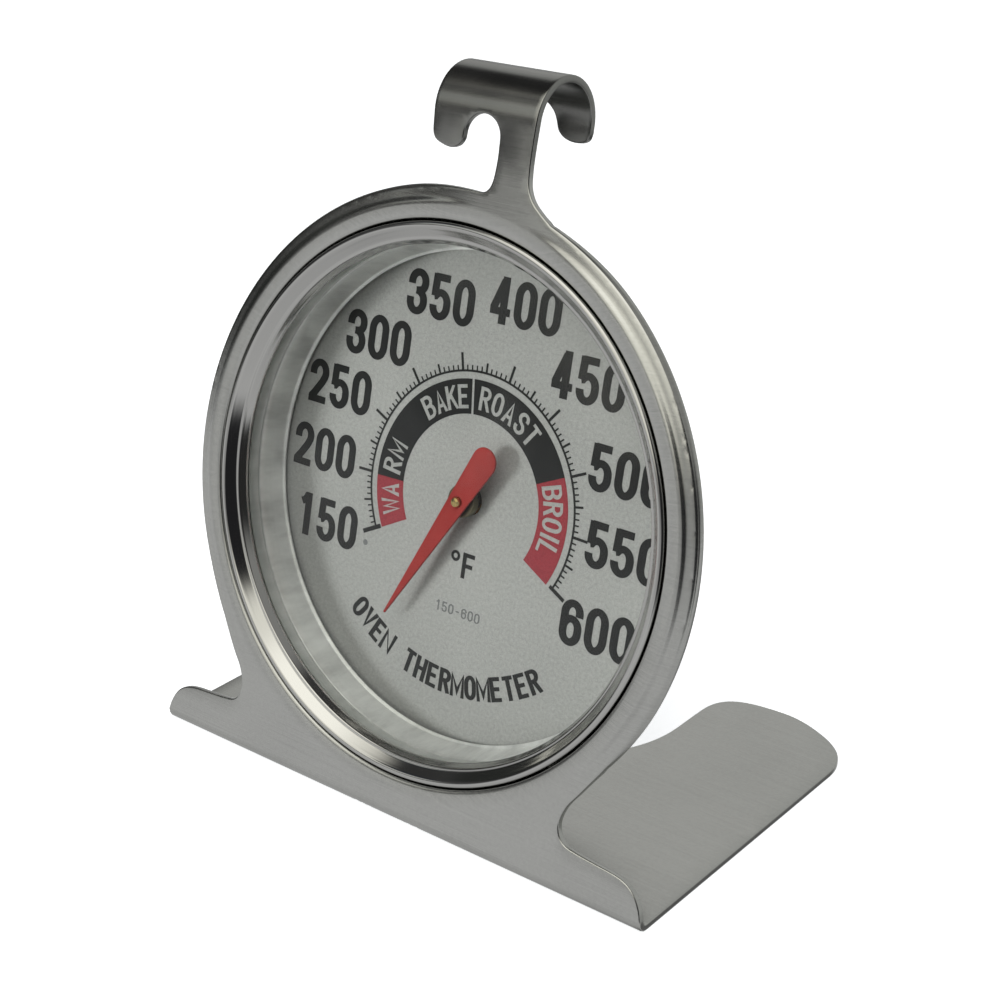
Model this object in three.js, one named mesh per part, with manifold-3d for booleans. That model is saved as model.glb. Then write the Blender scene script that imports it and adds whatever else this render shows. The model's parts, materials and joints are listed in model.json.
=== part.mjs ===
// Stand-up / hanging bimetal oven thermometer.
// Millimetres, +Z up. The front looks toward -Y, X is to the right as seen from the front.
// World origin: on the floor, midway between the left and right edges and midway along the foot.
// The sheet-metal stand is one stamping: dial flange, skirt with two ears, fold, foot, neck, hook.
// The flange, and all that it carries, leans back by LEAN so the dial faces slightly up.
// Everything on the dial axis is drawn in the "face frame": origin at the dial centre in the
// plane of the stand's front surface, x right, y toward the back, z up along the face.
import * as THREE from "three";
import { mergeVertices } from "three/addons/utils/BufferGeometryUtils.js";
import Module from "manifold-3d";

const wasm = await Module();
wasm.setup();

// ---------------------------------------------------------------- driving dimensions
const LEAN = THREE.MathUtils.degToRad(12.7); // dial leans back from upright
const FACE_HEIGHT = 35.4; // dial centre above the fold's sharp corner, along the face
const HALF_WIDTH = 34.1; // of skirt, fold and foot
const FOOT_LENGTH = 46.0; // sharp corner to lobe ends
const SHEET = 0.8; // stand sheet thickness
const FOLD_RADIUS = 1.3; // outside radius of the fold
// sharp corner to where the outside radius meets the foot
const FOLD_TANGENT = FOLD_RADIUS / Math.tan((Math.PI / 2 - LEAN) / 2);
const FOLD_FRONT = FOLD_TANGENT - FOLD_RADIUS; // front of the round, behind the sharp corner
const ORIGIN_Y = (FOLD_FRONT + FOOT_LENGTH) / 2; // world origin behind the sharp corner

const FLANGE_RADIUS = 33.6; // outside of the dial flange
const CASE_HOLE_RADIUS = 28.9; // hole in the stand for the case

// bezel lock tabs, and the slots they pass through in flange and case
const TAB_ANGLES = [45, 135, 225, 315];
const TAB_HALF_WIDTH = 2.3;
const SLOT_HALF_WIDTH = 2.8;
const SLOT_OUTER = 29.9; // outer edge, from the dial axis

// places across the dial axis
const RIVET_X = 14.5;
const RIVET_HOLE_RADIUS = 1.15;
const DIAL_PIN_X = 25.5;
const COIL_POST_X = -9.9;
const STAFF_BORE = 1.0; // radius of the hole in each part round the pointer staff

// depths behind the front plane
const DIAL_Y = 7.9; // printed face of the dial
const POINTER_Y = 5.7; // front of the pointer blade
const REST_ANGLE = -151.5; // pointer at room temperature, degrees clockwise from straight up

// facets round a turned piece
const LARGE_SEGMENTS = 60;
const SMALL_SEGMENTS = 20;
const RIVET_SEGMENTS = 16;
const PIN_SEGMENTS = 12;

// ---------------------------------------------------------------- solids from geometry
function solid(geometry) {
  const bare = new THREE.BufferGeometry()
    .setAttribute("position", geometry.getAttribute("position"))
    .setIndex(geometry.index);
  const merged = mergeVertices(bare, 1e-4);
  const index = merged.index.array;
  const triangles = [];
  for (let i = 0; i < index.length; i += 3) {
    const [a, b, c] = [index[i], index[i + 1], index[i + 2]];
    if (a !== b && b !== c && a !== c) triangles.push(a, b, c);
  }
  const build = () =>
    new wasm.Manifold(
      new wasm.Mesh({
        numProp: 3,
        vertProperties: new Float32Array(merged.attributes.position.array),
        triVerts: new Uint32Array(triangles),
      }),
    );
  const built = build();
  if (built.volume() >= 0) return built;
  // inside out: turn every triangle over
  for (let i = 0; i < triangles.length; i += 3) {
    [triangles[i + 1], triangles[i + 2]] = [triangles[i + 2], triangles[i + 1]];
  }
  return build();
}

function geometryOf(piece) {
  const mesh = piece.getMesh();
  const geometry = new THREE.BufferGeometry();
  const positions = new Float32Array(mesh.vertProperties);
  geometry.setAttribute("position", new THREE.BufferAttribute(positions, 3));
  geometry.setIndex(new THREE.BufferAttribute(new Uint32Array(mesh.triVerts), 1));
  const flat = geometry.toNonIndexed();
  flat.computeVertexNormals();
  return flat;
}

// (radius, y) outline, starting and ending on the axis, revolved about an axis along Y at x
function turned(points, segments, x = 0) {
  const profile = points.map(([radius, y]) => new THREE.Vector2(radius, y));
  const geometry = new THREE.LatheGeometry(profile, segments);
  geometry.translate(x, 0, 0);
  return solid(geometry);
}

// (radius, y) outline clear of the axis, closed and revolved
function ring(points, segments) {
  return turned([...points, points[0]], segments);
}

function tube(inner, outer, [y0, y1], segments) {
  return ring([[inner, y0], [outer, y0], [outer, y1], [inner, y1]], segments);
}

function disc(radius, [y0, y1], segments, x = 0) {
  const geometry = new THREE.CylinderGeometry(radius, radius, y1 - y0, segments);
  geometry.translate(x, (y0 + y1) / 2, 0);
  return solid(geometry);
}

function box([x0, x1], [y0, y1], [z0, z1], turn = new THREE.Matrix4()) {
  const geometry = new THREE.BoxGeometry(x1 - x0, y1 - y0, z1 - z0);
  geometry.translate((x0 + x1) / 2, (y0 + y1) / 2, (z0 + z1) / 2);
  return solid(geometry.applyMatrix4(turn));
}

// closed outline extruded along its own +z
function extrusion(points, depth) {
  const shape = new THREE.Shape();
  shape.moveTo(...points[0]);
  points.slice(1).forEach((point) => shape.lineTo(...point));
  shape.closePath();
  return new THREE.ExtrudeGeometry(shape, { depth, bevelEnabled: false });
}

// closed (x, z) outline, pushed from y0 to y1
function plate(points, [y0, y1]) {
  const place = new THREE.Matrix4().set(1, 0, 0, 0, 0, 0, 1, y0, 0, 1, 0, 0, 0, 0, 0, 1);
  return solid(extrusion(points, y1 - y0).applyMatrix4(place));
}

// closed (y, z) outline, pushed from x0 to x1
function rail(points, [x0, x1]) {
  const place = new THREE.Matrix4().set(0, 0, 1, x0, 1, 0, 0, 0, 0, 1, 0, 0, 0, 0, 0, 1);
  return solid(extrusion(points, x1 - x0).applyMatrix4(place));
}

// points along an arc, both ends included; angles in radians from the first axis
function arc({ centre, radius, from, to, steps }) {
  const points = [];
  for (let i = 0; i <= steps; i++) {
    const angle = from + ((to - from) * i) / steps;
    points.push([centre[0] + radius * Math.cos(angle), centre[1] + radius * Math.sin(angle)]);
  }
  return points;
}

// left half of a symmetric outline, walked the opposite way to its right half
function mirrored(half) {
  return half.map(([x, other]) => [-x, other]).reverse();
}

// the turn about the dial axis that takes the top of the dial to each lock tab
const tabTurns = TAB_ANGLES.map((angle) =>
  new THREE.Matrix4().makeRotationY(THREE.MathUtils.degToRad(angle)),
);

function cutTabSlots(piece, depths, inner) {
  const across = [-SLOT_HALF_WIDTH, SLOT_HALF_WIDTH];
  return tabTurns.reduce(
    (rest, turn) => rest.subtract(box(across, depths, [inner, SLOT_OUTER], turn)),
    piece,
  );
}

// face frame -> world
const face = new THREE.Group();
face.position.set(0, -ORIGIN_Y + FACE_HEIGHT * Math.sin(LEAN), FACE_HEIGHT * Math.cos(LEAN));
face.rotation.x = -LEAN;
face.updateMatrix();

// ---------------------------------------------------------------- stand: dial flange and skirt
// (radius, y): from the rim inward a low outer lip, a step up to the flat band and a square
// step down to the bezel seat, then back out along the rear surface
const FLANGE_PROFILE = [
  [FLANGE_RADIUS, 0.8], [33.5, 0.52], [33.2, 0.43], [32.8, 0.38], [32.5, 0.27], [32.15, 0.08],
  [31.8, 0.0], [30.75, 0.0], [30.45, 0.12], [30.3, 0.45], [30.3, 2.0],
  [CASE_HOLE_RADIUS, 2.0], [CASE_HOLE_RADIUS, 2.8],
  [31.1, 2.8], [31.1, 1.1], [31.3, 0.85], [31.8, 0.8], [32.1, 0.88], [32.45, 1.08],
  [32.8, 1.18], [33.2, 1.22], [33.45, 1.2],
];

// (x, z): right edge of the skirt, from the flange down past the ear
const SKIRT_EDGE = [
  [27.1, -19.6], [25.85, -21.75], [24.6, -23.6], [23.5, -25.15], [22.95, -26.4], [22.8, -27.4],
  [23.05, -28.5], [23.75, -29.25], [25.0, -29.6], [27.8, -29.85], [30.3, -30.0], [31.7, -30.4],
  [32.8, -31.3], [33.6, -32.6], [HALF_WIDTH, -33.9],
];
const SKIRT_TOP_RADIUS = 32.75; // skirt's top edge, under the flange
const SKIRT_BOTTOM = 1.8; // skirt's lower edge above the sharp corner, along the face

function makeFlange() {
  return cutTabSlots(ring(FLANGE_PROFILE, LARGE_SEGMENTS), [1.5, 3.3], 28.0);
}

function makeSkirt() {
  const below = -FACE_HEIGHT - 2;
  const topEdge = arc({
    centre: [0, 0],
    radius: SKIRT_TOP_RADIUS,
    from: THREE.MathUtils.degToRad(219.6),
    to: THREE.MathUtils.degToRad(320.4),
    steps: 24,
  });
  const points = [
    [HALF_WIDTH, below], [-HALF_WIDTH, below],
    ...mirrored(SKIRT_EDGE), ...topEdge, ...SKIRT_EDGE,
  ];
  // trimmed where the fold takes over
  const trim = box([-50, 50], [-2, 3], [-FACE_HEIGHT - 5, -FACE_HEIGHT + SKIRT_BOTTOM]);
  return plate(points, [0, SHEET]).subtract(trim);
}

// ---------------------------------------------------------------- stand: neck and hook
const HOOK_LEFT = -5.3;
const HOOK_RIGHT = 7.8; // right edge of hook and neck
const NECK_LEFT = 3.5;
const BEND_Z = 41.2; // height of the centre of the bend
const BEND_RADIUS = 5.0; // outside
const FRONT_FINGER_Z = 37.0; // lower end of the strip in front
const REAR_FINGER_Z = 39.4; // lower end of the strip behind

// (x, z): up the left side, across the top, down the right side, back along the flange
const NECK_OUTLINE = [
  [1.2, 32.3], [2.0, 33.54], [2.8, 33.75], [3.3, 34.5], [3.55, 35.9], [3.55, 38.0],
  [NECK_LEFT, BEND_Z], [HOOK_RIGHT, BEND_Z],
  [7.7, 38.4], [7.75, 36.2], [7.95, 34.9], [8.6, 33.7], [9.7, 32.7], [11.1, 31.7],
  [12.3, 31.1], [11.5, 30.65], [9.0, 31.45], [5.0, 32.35], [3.0, 32.6],
];

// round-topped notch between the neck and the front finger
const NOTCH_RADIUS = 2.3;
const NOTCH_Z = 38.95; // centre of its round top

// (x, z): rounded lower end of the front finger, right to left, then clear round its left side
const FRONT_FINGER_CUT = [
  [-1.15, 38.3], [-1.6, 37.65], [-2.6, 37.3], [-3.9, 37.55], [-4.85, 38.0], [-5.05, 38.5],
  [-5.2, 40.0], [-5.6, 40.0], [-5.6, 35],
];

// (x, z): what is cut from the rear strip; leaves a curved root and a finger at the right
const REAR_CUT = [
  [-6, 36], [-6, 44.0], [-0.2, 44.0], [1.2, 43.8], [2.3, 43.1], [3.0, 42.2], [3.45, 41.0],
  [3.85, 40.3], [4.5, 39.75], [5.3, 39.45], [6.2, 39.35], [7.2, 39.6], [9, 39.9], [9, 36],
];

// strip bent over a half circle: (y, z) outline, up the front, over, and back underneath
function makeHookStrip() {
  const centre = [BEND_RADIUS, BEND_Z];
  const rearY = 2 * BEND_RADIUS;
  const points = [
    [0, FRONT_FINGER_Z],
    ...arc({ centre, radius: BEND_RADIUS, from: Math.PI, to: 0, steps: 16 }),
    [rearY, REAR_FINGER_Z], [rearY - SHEET, REAR_FINGER_Z],
    ...arc({ centre, radius: BEND_RADIUS - SHEET, from: 0, to: Math.PI, steps: 16 }),
    [SHEET, FRONT_FINGER_Z],
  ];
  return rail(points, [HOOK_LEFT, HOOK_RIGHT]);
}

function makeHook() {
  const frontDepths = [-1, 3];
  const notchTop = arc({
    centre: [NECK_LEFT - NOTCH_RADIUS, NOTCH_Z],
    radius: NOTCH_RADIUS,
    from: 0,
    to: Math.PI,
    steps: 12,
  });
  const frontCut = [[NECK_LEFT, 35], ...notchTop, ...FRONT_FINGER_CUT];
  return makeHookStrip()
    .subtract(plate(frontCut, frontDepths))
    // below here the neck plate takes the strip's place
    .subtract(box([NECK_LEFT - 0.01, 9], frontDepths, [35, 38]))
    .subtract(plate(REAR_CUT, [5.2, 12]));
}

// ---------------------------------------------------------------- stand: fold and foot
// Both are drawn from the fold's sharp corner, at y = z = 0, with the floor at z = 0.
const FOLD_RISE = 2.0; // top of the fold piece, along the face
const FOLD_REACH = 4; // rear end of the fold piece, on the floor
const FOOT_START = 3.5; // front edge of the foot plate, inside the fold piece
const SCOOP_RADIUS = 15.1; // round scoop between the two lobes
const SCOOP_Y = 35.2;

// (x, y): right lobe, from its outer side round to the scoop
const LOBE_EDGE = [
  [HALF_WIDTH, 38.6], [33.85, 40.2], [33.2, 41.3], [32.2, 42.4], [30.6, 43.6], [28.6, 44.6],
  [26.4, 45.5], [24.1, FOOT_LENGTH], [21.0, 45.8], [18.6, 45.4], [16.9, 44.7], [15.8, 43.6],
  [15.25, 42.3], [SCOOP_RADIUS, 41.0],
];

function makeFold() {
  const round = {
    centre: [FOLD_TANGENT, FOLD_RADIUS],
    from: -Math.PI / 2, // meets the foot
    to: -Math.PI - LEAN, // meets the face
    steps: 6,
  };
  // (y, z) at the top of the fold piece, at a depth behind the face
  const topAt = (depth) => [
    FOLD_RISE * Math.sin(LEAN) + depth * Math.cos(LEAN),
    FOLD_RISE * Math.cos(LEAN) - depth * Math.sin(LEAN),
  ];
  const points = [
    ...arc({ ...round, radius: FOLD_RADIUS }),
    topAt(0), topAt(SHEET),
    ...arc({ ...round, radius: FOLD_RADIUS - SHEET }).reverse(),
    [FOLD_REACH, SHEET], [FOLD_REACH, 0],
  ];
  return rail(points, [-HALF_WIDTH, HALF_WIDTH]);
}

function makeFoot() {
  const scoop = arc({
    centre: [0, SCOOP_Y],
    radius: SCOOP_RADIUS,
    from: 0,
    to: -Math.PI,
    steps: 20,
  });
  const points = [
    [HALF_WIDTH, FOOT_START],
    ...LOBE_EDGE, ...scoop, ...mirrored(LOBE_EDGE),
    [-HALF_WIDTH, FOOT_START],
  ];
  return solid(extrusion(points, SHEET));
}

function makeStand() {
  const leaning = makeFlange()
    .add(makeSkirt())
    .add(plate(NECK_OUTLINE, [0, SHEET]))
    .add(makeHook());
  const onFloor = makeFold().add(makeFoot());
  return leaning.transform(face.matrix.elements).add(onFloor.translate([0, -ORIGIN_Y, 0]));
}

// ---------------------------------------------------------------- case, bezel, glass, dial
// (radius, y): along the inside from the back wall to the rim, then back along the outside
const CASE_PROFILE = [
  [0, 15.3], [22.7, 15.3], [23.3, 14.7], [23.3, 8.8], [27.43, 8.8], [28.3, 3.1], [30.6, 3.1],
  [30.6, 3.6], [28.7, 3.6], [27.88, 8.95], [27.5, 9.3], [23.8, 9.42], [23.8, 14.9],
  [22.9, 15.8], [0, 15.8],
];

// (radius, y): front surface from the outer skirt inward, then back along the rear surface
const BEZEL_PROFILE = [
  [30.0, 1.5], [30.0, 0.35], [29.88, 0.09], [29.65, 0.0], [29.35, 0.08], [29.05, 0.3],
  [28.7, 0.68], [28.4, 1.02], [28.2, 1.12], [28.02, 1.16], [27.86, 1.3], [27.72, 1.55],
  [27.64, 1.85], [27.7, 2.05], [27.98, 2.05], [28.05, 1.65], [28.2, 1.52], [28.5, 1.42],
  [28.95, 1.0], [29.3, 0.6], [29.55, 0.42], [29.68, 0.5], [29.7, 1.5],
];

// (radius, y)
const SPACER_PROFILE = [
  [27.64, 4.35], [27.98, 4.35], [27.48, 7.6], [26.85, 7.6], [26.85, 7.3], [27.2, 7.2],
];

function makeCase() {
  let cup = cutTabSlots(turned(CASE_PROFILE, LARGE_SEGMENTS), [2.8, 3.9], 28.95);
  cup = cup.subtract(disc(2.0, [14, 17], SMALL_SEGMENTS));
  for (const side of [-1, 1]) {
    const rivetHole = disc(RIVET_HOLE_RADIUS, [14, 17], RIVET_SEGMENTS, side * RIVET_X);
    const pinHole = disc(0.95, [8, 10.5], PIN_SEGMENTS, side * DIAL_PIN_X);
    cup = cup.subtract(rivetHole).subtract(pinHole);
  }
  return cup;
}

// lock tab: runs back through the slots, then folds outward behind the rim of the case
function makeTab(turn) {
  const across = [-TAB_HALF_WIDTH, TAB_HALF_WIDTH];
  const strip = box(across, [0.45, 4.4], [29.2, 29.6], turn);
  return strip.add(box(across, [4.0, 4.4], [29.2, 30.5], turn));
}

function makeBezel() {
  const rim = ring(BEZEL_PROFILE, LARGE_SEGMENTS);
  return tabTurns.reduce((bezel, turn) => bezel.add(makeTab(turn)), rim);
}

const makeGlass = () => disc(28.0, [2.45, 4.05], LARGE_SEGMENTS);

const makeSpacer = () => ring(SPACER_PROFILE, LARGE_SEGMENTS);

function makeDial() {
  const blank = disc(27.2, [DIAL_Y, DIAL_Y + 0.5], LARGE_SEGMENTS);
  return blank.subtract(disc(1.7, [7, 9], SMALL_SEGMENTS));
}

const makeDialPin = (x) => disc(0.6, [8.7, 10.6], PIN_SEGMENTS, x);

// ---------------------------------------------------------------- movement
const BRIDGE = {
  front: 9.2,
  back: 15.0,
  thickness: 0.6,
  halfSpan: 12.6, // to the outside of the legs
  footReach: 17.5, // to the ends of the feet
  halfHeight: 3.5,
};

// flat spiral strip on edge
const COIL = { turns: 5, startRadius: 2.45, pitch: 1.25, halfThickness: 0.22, stepsPerTurn: 20 };

// (radius, y), front to back
const RIVET_PROFILE = [
  [0, 13.5], [0.9, 13.55], [1.6, 13.85], [1.6, 14.1], [0.8, 14.1], [0.8, 16.1], [1.7, 16.1],
  [1.7, 16.35], [1.0, 16.7], [0, 16.75],
];
const COIL_POST_PROFILE = [
  [0, 8.85], [0.75, 8.85], [0.75, 10.1], [1.1, 10.1], [0.8, 10.4], [0.8, 14.1], [0, 14.1],
];
const STAFF_PROFILE = [[0, 5.25], [0.7, 5.25], [0.7, 13.95], [0.45, 14.05], [0.45, 15.0], [0, 15.0]];

// (radius, y), round the section
const BUSHING_PROFILE = [
  [1.05, 8.8], [1.85, 8.8], [1.85, 10.1], [2.8, 10.1], [2.8, 10.5], [1.05, 10.5],
];
const BEARING_PROFILE = [
  [0, 15.4], [0.85, 15.4], [0.85, 14.3], [2.7, 14.3], [2.7, 15.0], [1.65, 15.0],
  [1.65, 16.3], [0, 16.3],
];

// bar across the front, with a leg and an outturned foot at each end
function makeBridge() {
  const { front, back, thickness, halfSpan, footReach, halfHeight } = BRIDGE;
  const height = [-halfHeight, halfHeight];
  const bar = box([-halfSpan, halfSpan], [front, front + thickness], height);
  const rightLeg = box([halfSpan - thickness, halfSpan], [front, back], height)
    .add(box([halfSpan - thickness, footReach], [back - thickness, back], height))
    .subtract(disc(RIVET_HOLE_RADIUS, [14, 16], RIVET_SEGMENTS, RIVET_X));
  return bar
    .add(rightLeg)
    .add(rightLeg.mirror([1, 0, 0]))
    .subtract(disc(2.2, [9, 10], SMALL_SEGMENTS))
    .subtract(disc(1.1, [9, 10], RIVET_SEGMENTS, COIL_POST_X));
}

const makeRivet = (x) => turned(RIVET_PROFILE, RIVET_SEGMENTS, x);

const makeBushing = () => ring(BUSHING_PROFILE, SMALL_SEGMENTS);

const makeBearing = () => turned(BEARING_PROFILE, SMALL_SEGMENTS);

function makeCoil() {
  const { turns, startRadius, pitch, halfThickness, stepsPerTurn } = COIL;
  const outer = [];
  const inner = [];
  for (let i = 0; i <= stepsPerTurn * turns; i++) {
    const turn = i / stepsPerTurn;
    const angle = turn * 2 * Math.PI + Math.PI;
    const radius = startRadius + pitch * turn;
    const pointAt = (distance) => [distance * Math.cos(angle), distance * Math.sin(angle)];
    outer.push(pointAt(radius + halfThickness));
    inner.push(pointAt(radius - halfThickness));
  }
  return plate([...outer, ...inner.reverse()], [11.3, 13.9]);
}

const makeCoilPost = () => turned(COIL_POST_PROFILE, RIVET_SEGMENTS, COIL_POST_X);

// ---------------------------------------------------------------- turning set
// Drawn with the pointer straight up.
const POINTER = {
  length: 17.0, // dial axis to tip
  tipRadius: 0.14,
  tailZ: -5.8, // centre of the round tail
  tailRadius: 1.62,
  thickness: 0.4,
};

// teardrop blade: round tail, long straight taper to the tip
function makePointer() {
  const { length, tipRadius, tailZ, tailRadius, thickness } = POINTER;
  const tipZ = length - tipRadius;
  const taper = Math.asin((tailRadius - tipRadius) / (tipZ - tailZ));
  const tail = arc({
    centre: [0, tailZ],
    radius: tailRadius,
    from: taper,
    to: -Math.PI - taper,
    steps: 14,
  });
  const tip = arc({
    centre: [0, tipZ],
    radius: tipRadius,
    from: Math.PI - taper,
    to: taper,
    steps: 4,
  });
  const blade = plate([...tail, ...tip], [POINTER_Y, POINTER_Y + thickness]);
  return blade.subtract(disc(STAFF_BORE, [5, 7], SMALL_SEGMENTS));
}

// plain sleeve or washer round the staff
const makeCollar = (radius, depths) => tube(STAFF_BORE, radius, depths, SMALL_SEGMENTS);

const makeStaff = () => turned(STAFF_PROFILE, SMALL_SEGMENTS);

// ---------------------------------------------------------------- materials
const material = (settings) => new THREE.MeshStandardMaterial(settings);
const brushed = material({ color: 0x9a9c98, metalness: 1.0, roughness: 0.38 });
const polished = material({ color: 0xb9b9b4, metalness: 1.0, roughness: 0.12 });
const inside = material({ color: 0x8d908c, metalness: 1.0, roughness: 0.3 });
const satin = material({ color: 0xb4b6b5, metalness: 0.7, roughness: 0.45 });
const brass = material({ color: 0xb08d4a, metalness: 1.0, roughness: 0.3 });
const steel = material({ color: 0x8a8c8e, metalness: 1.0, roughness: 0.35 });
const bimetal = material({ color: 0x8f7f66, metalness: 1.0, roughness: 0.4 });
const red = material({ color: 0xc63a2b, metalness: 0.0, roughness: 0.45 });
const glass = material({
  color: 0xf4f8f7,
  metalness: 0.0,
  roughness: 0.03,
  transparent: true,
  opacity: 0.25,
});

// ---------------------------------------------------------------- scene graph
function put(parent, name, piece, finish) {
  const mesh = new THREE.Mesh(geometryOf(piece), finish);
  mesh.name = name;
  parent.add(mesh);
}

const root = new THREE.Group();
put(root, "stand_frame", makeStand(), brushed);
root.add(face);

put(face, "case_cup", makeCase(), brushed);
put(face, "bezel_ring", makeBezel(), polished);
put(face, "glass_lens", makeGlass(), glass);
put(face, "spacer_ring", makeSpacer(), inside);
put(face, "dial_plate", makeDial(), satin);
put(face, "dial_pin_left", makeDialPin(-DIAL_PIN_X), steel);
put(face, "dial_pin_right", makeDialPin(DIAL_PIN_X), steel);

put(face, "movement_bridge", makeBridge(), steel);
put(face, "bridge_rivet_left", makeRivet(-RIVET_X), steel);
put(face, "bridge_rivet_right", makeRivet(RIVET_X), steel);
put(face, "front_bushing", makeBushing(), brass);
put(face, "rear_bearing", makeBearing(), brass);
put(face, "bimetal_coil", makeCoil(), bimetal);
put(face, "coil_anchor_post", makeCoilPost(), steel);

// all of the turning set swings about the dial axis
const turning = new THREE.Group();
turning.rotation.y = THREE.MathUtils.degToRad(REST_ANGLE);
face.add(turning);
put(turning, "pointer", makePointer(), red);
put(turning, "pointer_hub", makeCollar(1.8, [6.4, 7.4]), brass);
put(turning, "pointer_staff", makeStaff(), steel);
put(turning, "staff_washer", makeCollar(2.2, [10.75, 11.0]), brass);
put(turning, "coil_arbor", makeCollar(1.9, [11.3, 13.7]), brass);

export default root;
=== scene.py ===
"""Dial oven thermometer: a round case in a folded sheet stand with a hook at the top.

Lengths are millimetres in the face frame unless noted. Its origin is the dial centre in the
front plane of the stand, x points right, y backward and z up the leaning face. Outlines to be
revolved about the dial axis are (radius, depth) points, with depth along y.
"""
import json
import math

import bpy
import numpy as np
from mathutils import Matrix, Vector
from mathutils.geometry import delaunay_2d_cdt


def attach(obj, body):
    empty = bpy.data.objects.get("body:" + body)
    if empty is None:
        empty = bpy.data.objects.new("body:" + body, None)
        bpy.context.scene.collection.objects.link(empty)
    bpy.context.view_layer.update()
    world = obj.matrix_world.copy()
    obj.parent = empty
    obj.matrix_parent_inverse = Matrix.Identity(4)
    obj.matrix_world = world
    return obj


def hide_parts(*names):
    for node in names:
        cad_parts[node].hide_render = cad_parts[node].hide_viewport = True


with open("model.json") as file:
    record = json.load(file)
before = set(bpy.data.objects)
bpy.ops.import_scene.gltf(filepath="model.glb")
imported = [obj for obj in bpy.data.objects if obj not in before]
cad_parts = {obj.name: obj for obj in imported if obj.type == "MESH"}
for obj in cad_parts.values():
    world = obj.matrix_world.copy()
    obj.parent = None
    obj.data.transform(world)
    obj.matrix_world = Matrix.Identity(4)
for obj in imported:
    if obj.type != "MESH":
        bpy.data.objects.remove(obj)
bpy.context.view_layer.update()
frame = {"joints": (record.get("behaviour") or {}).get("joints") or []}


# ------------------------------------------------------------------ face frame
MM = 0.001
JOINT_DEPTH = 0.006  # metres from the front plane back to the pointer joint
joint = frame["joints"][0]
AXIS = Vector(joint["axis"]).normalized()
RIGHT = Vector((1, 0, 0))
UP = RIGHT.cross(AXIS)
ORIGIN = Vector(joint["pos_m"]) - AXIS * JOINT_DEPTH
LEAN = math.atan2(-AXIS.z, AXIS.y)
FACE = Matrix((
    (RIGHT.x, AXIS.x, UP.x, ORIGIN.x),
    (RIGHT.y, AXIS.y, UP.y, ORIGIN.y),
    (RIGHT.z, AXIS.z, UP.z, ORIGIN.z),
    (0, 0, 0, 1),
))
FACE_TURN = np.array(FACE)[:3, :3]
FACE_ORIGIN = np.array(FACE)[:3, 3]

# ------------------------------------------------------------------ shared sizes
FACE_H = 35.4  # dial centre down to the sharp corner of the fold
HALF_W = 34.1
FOOT_L = 46.0
THICK = 0.8  # stand sheet
FOLD_R = 1.3
RING_R = 33.6  # outer edge of the stand round the dial
HOOK_Z = 41.2  # where the hook starts to bend
HOOK_R = 5.0
HOOK_LEFT = -5.3
HOOK_RIGHT = 7.8
DIAL_Y = 7.9  # front of the dial plate
SIDES = ((-1, "left"), (1, "right"))

# four bezel tabs pass through slots in the stand and the case
TAB_ANGLES = (45, 135, 225, 315)
TAB_HALF_W = 2.3
SLOT_HALF_W = 2.8
SLOT_R = 29.9  # outer end of a slot
OPENING_R = 28.9

RIVET_X = 14.5
STUD_X = 25.5
POST_X = -9.9

TURNING = "pointer_set"
REST = math.radians(-151.5)  # pointer angle at rest


# ------------------------------------------------------------------ mesh helpers
def add_object(name, data):
    obj = bpy.data.objects.new(name, data)
    bpy.context.scene.collection.objects.link(obj)
    return obj


def signed_volume(verts, faces):
    total = 0.0
    for face in faces:
        first = verts[face[0]]
        for i in range(1, len(face) - 1):
            total += np.dot(first, np.cross(verts[face[i]], verts[face[i + 1]]))
    return total


def solid(name, verts, faces):
    """Object with a closed mesh, its faces turned outward."""
    verts = np.asarray(verts, float)
    if signed_volume(verts, faces) < 0:
        faces = [tuple(reversed(face)) for face in faces]
    world = (verts * MM) @ FACE_TURN.T + FACE_ORIGIN
    mesh = bpy.data.meshes.new(name)
    mesh.from_pydata(world.tolist(), [], [tuple(int(i) for i in face) for face in faces])
    return add_object(name, mesh)


def mark_sharp(obj, degrees):
    obj.data.set_sharp_from_angle(angle=math.radians(degrees))


def make(name, verts, faces, finish, sharp, body="root", slot=None, replaces=None, grain=None):
    """Finished part. The slot argument is not used. grain holds the
    coordinates the material follows, the vertices themselves by default."""
    obj = solid(name, verts, faces)
    mesh = obj.data
    mesh.validate()
    grain = np.asarray(verts if grain is None else grain, np.float32)
    attribute = mesh.attributes.new("grain", "FLOAT_VECTOR", "POINT")
    attribute.data.foreach_set("vector", grain.ravel())
    mesh.polygons.foreach_set("use_smooth", [True] * len(mesh.polygons))
    mark_sharp(obj, sharp)
    mesh.update()
    mesh.materials.append(FINISHES[finish])
    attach(obj, body)
    slot or finish
    if replaces:
        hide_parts(replaces)
    return obj


def combine(obj, verts, faces, operation="DIFFERENCE"):
    """Cut a solid out of an object, or join it on."""
    cutter = solid("tool", verts, faces)
    modifier = obj.modifiers.new("cut", "BOOLEAN")
    modifier.operation = operation
    modifier.solver = "EXACT"
    modifier.object = cutter
    bpy.context.view_layer.update()
    graph = bpy.context.evaluated_depsgraph_get()
    mesh = bpy.data.meshes.new_from_object(obj.evaluated_get(graph))
    obj.modifiers.remove(modifier)
    old = obj.data
    obj.data = mesh
    bpy.data.meshes.remove(old)
    bpy.data.objects.remove(cutter)


def turned(points, angle):
    """Turn points about the dial axis, clockwise as seen from the front."""
    out = np.array(points, float)
    cos, sin = math.cos(angle), math.sin(angle)
    x, z = out[:, 0].copy(), out[:, 2].copy()
    out[:, 0] = x * cos + z * sin
    out[:, 2] = -x * sin + z * cos
    return out


def circle(radius, count, x=0.0, z=0.0):
    return [(x + radius * math.cos(2 * math.pi * i / count),
             z + radius * math.sin(2 * math.pi * i / count)) for i in range(count)]


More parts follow.
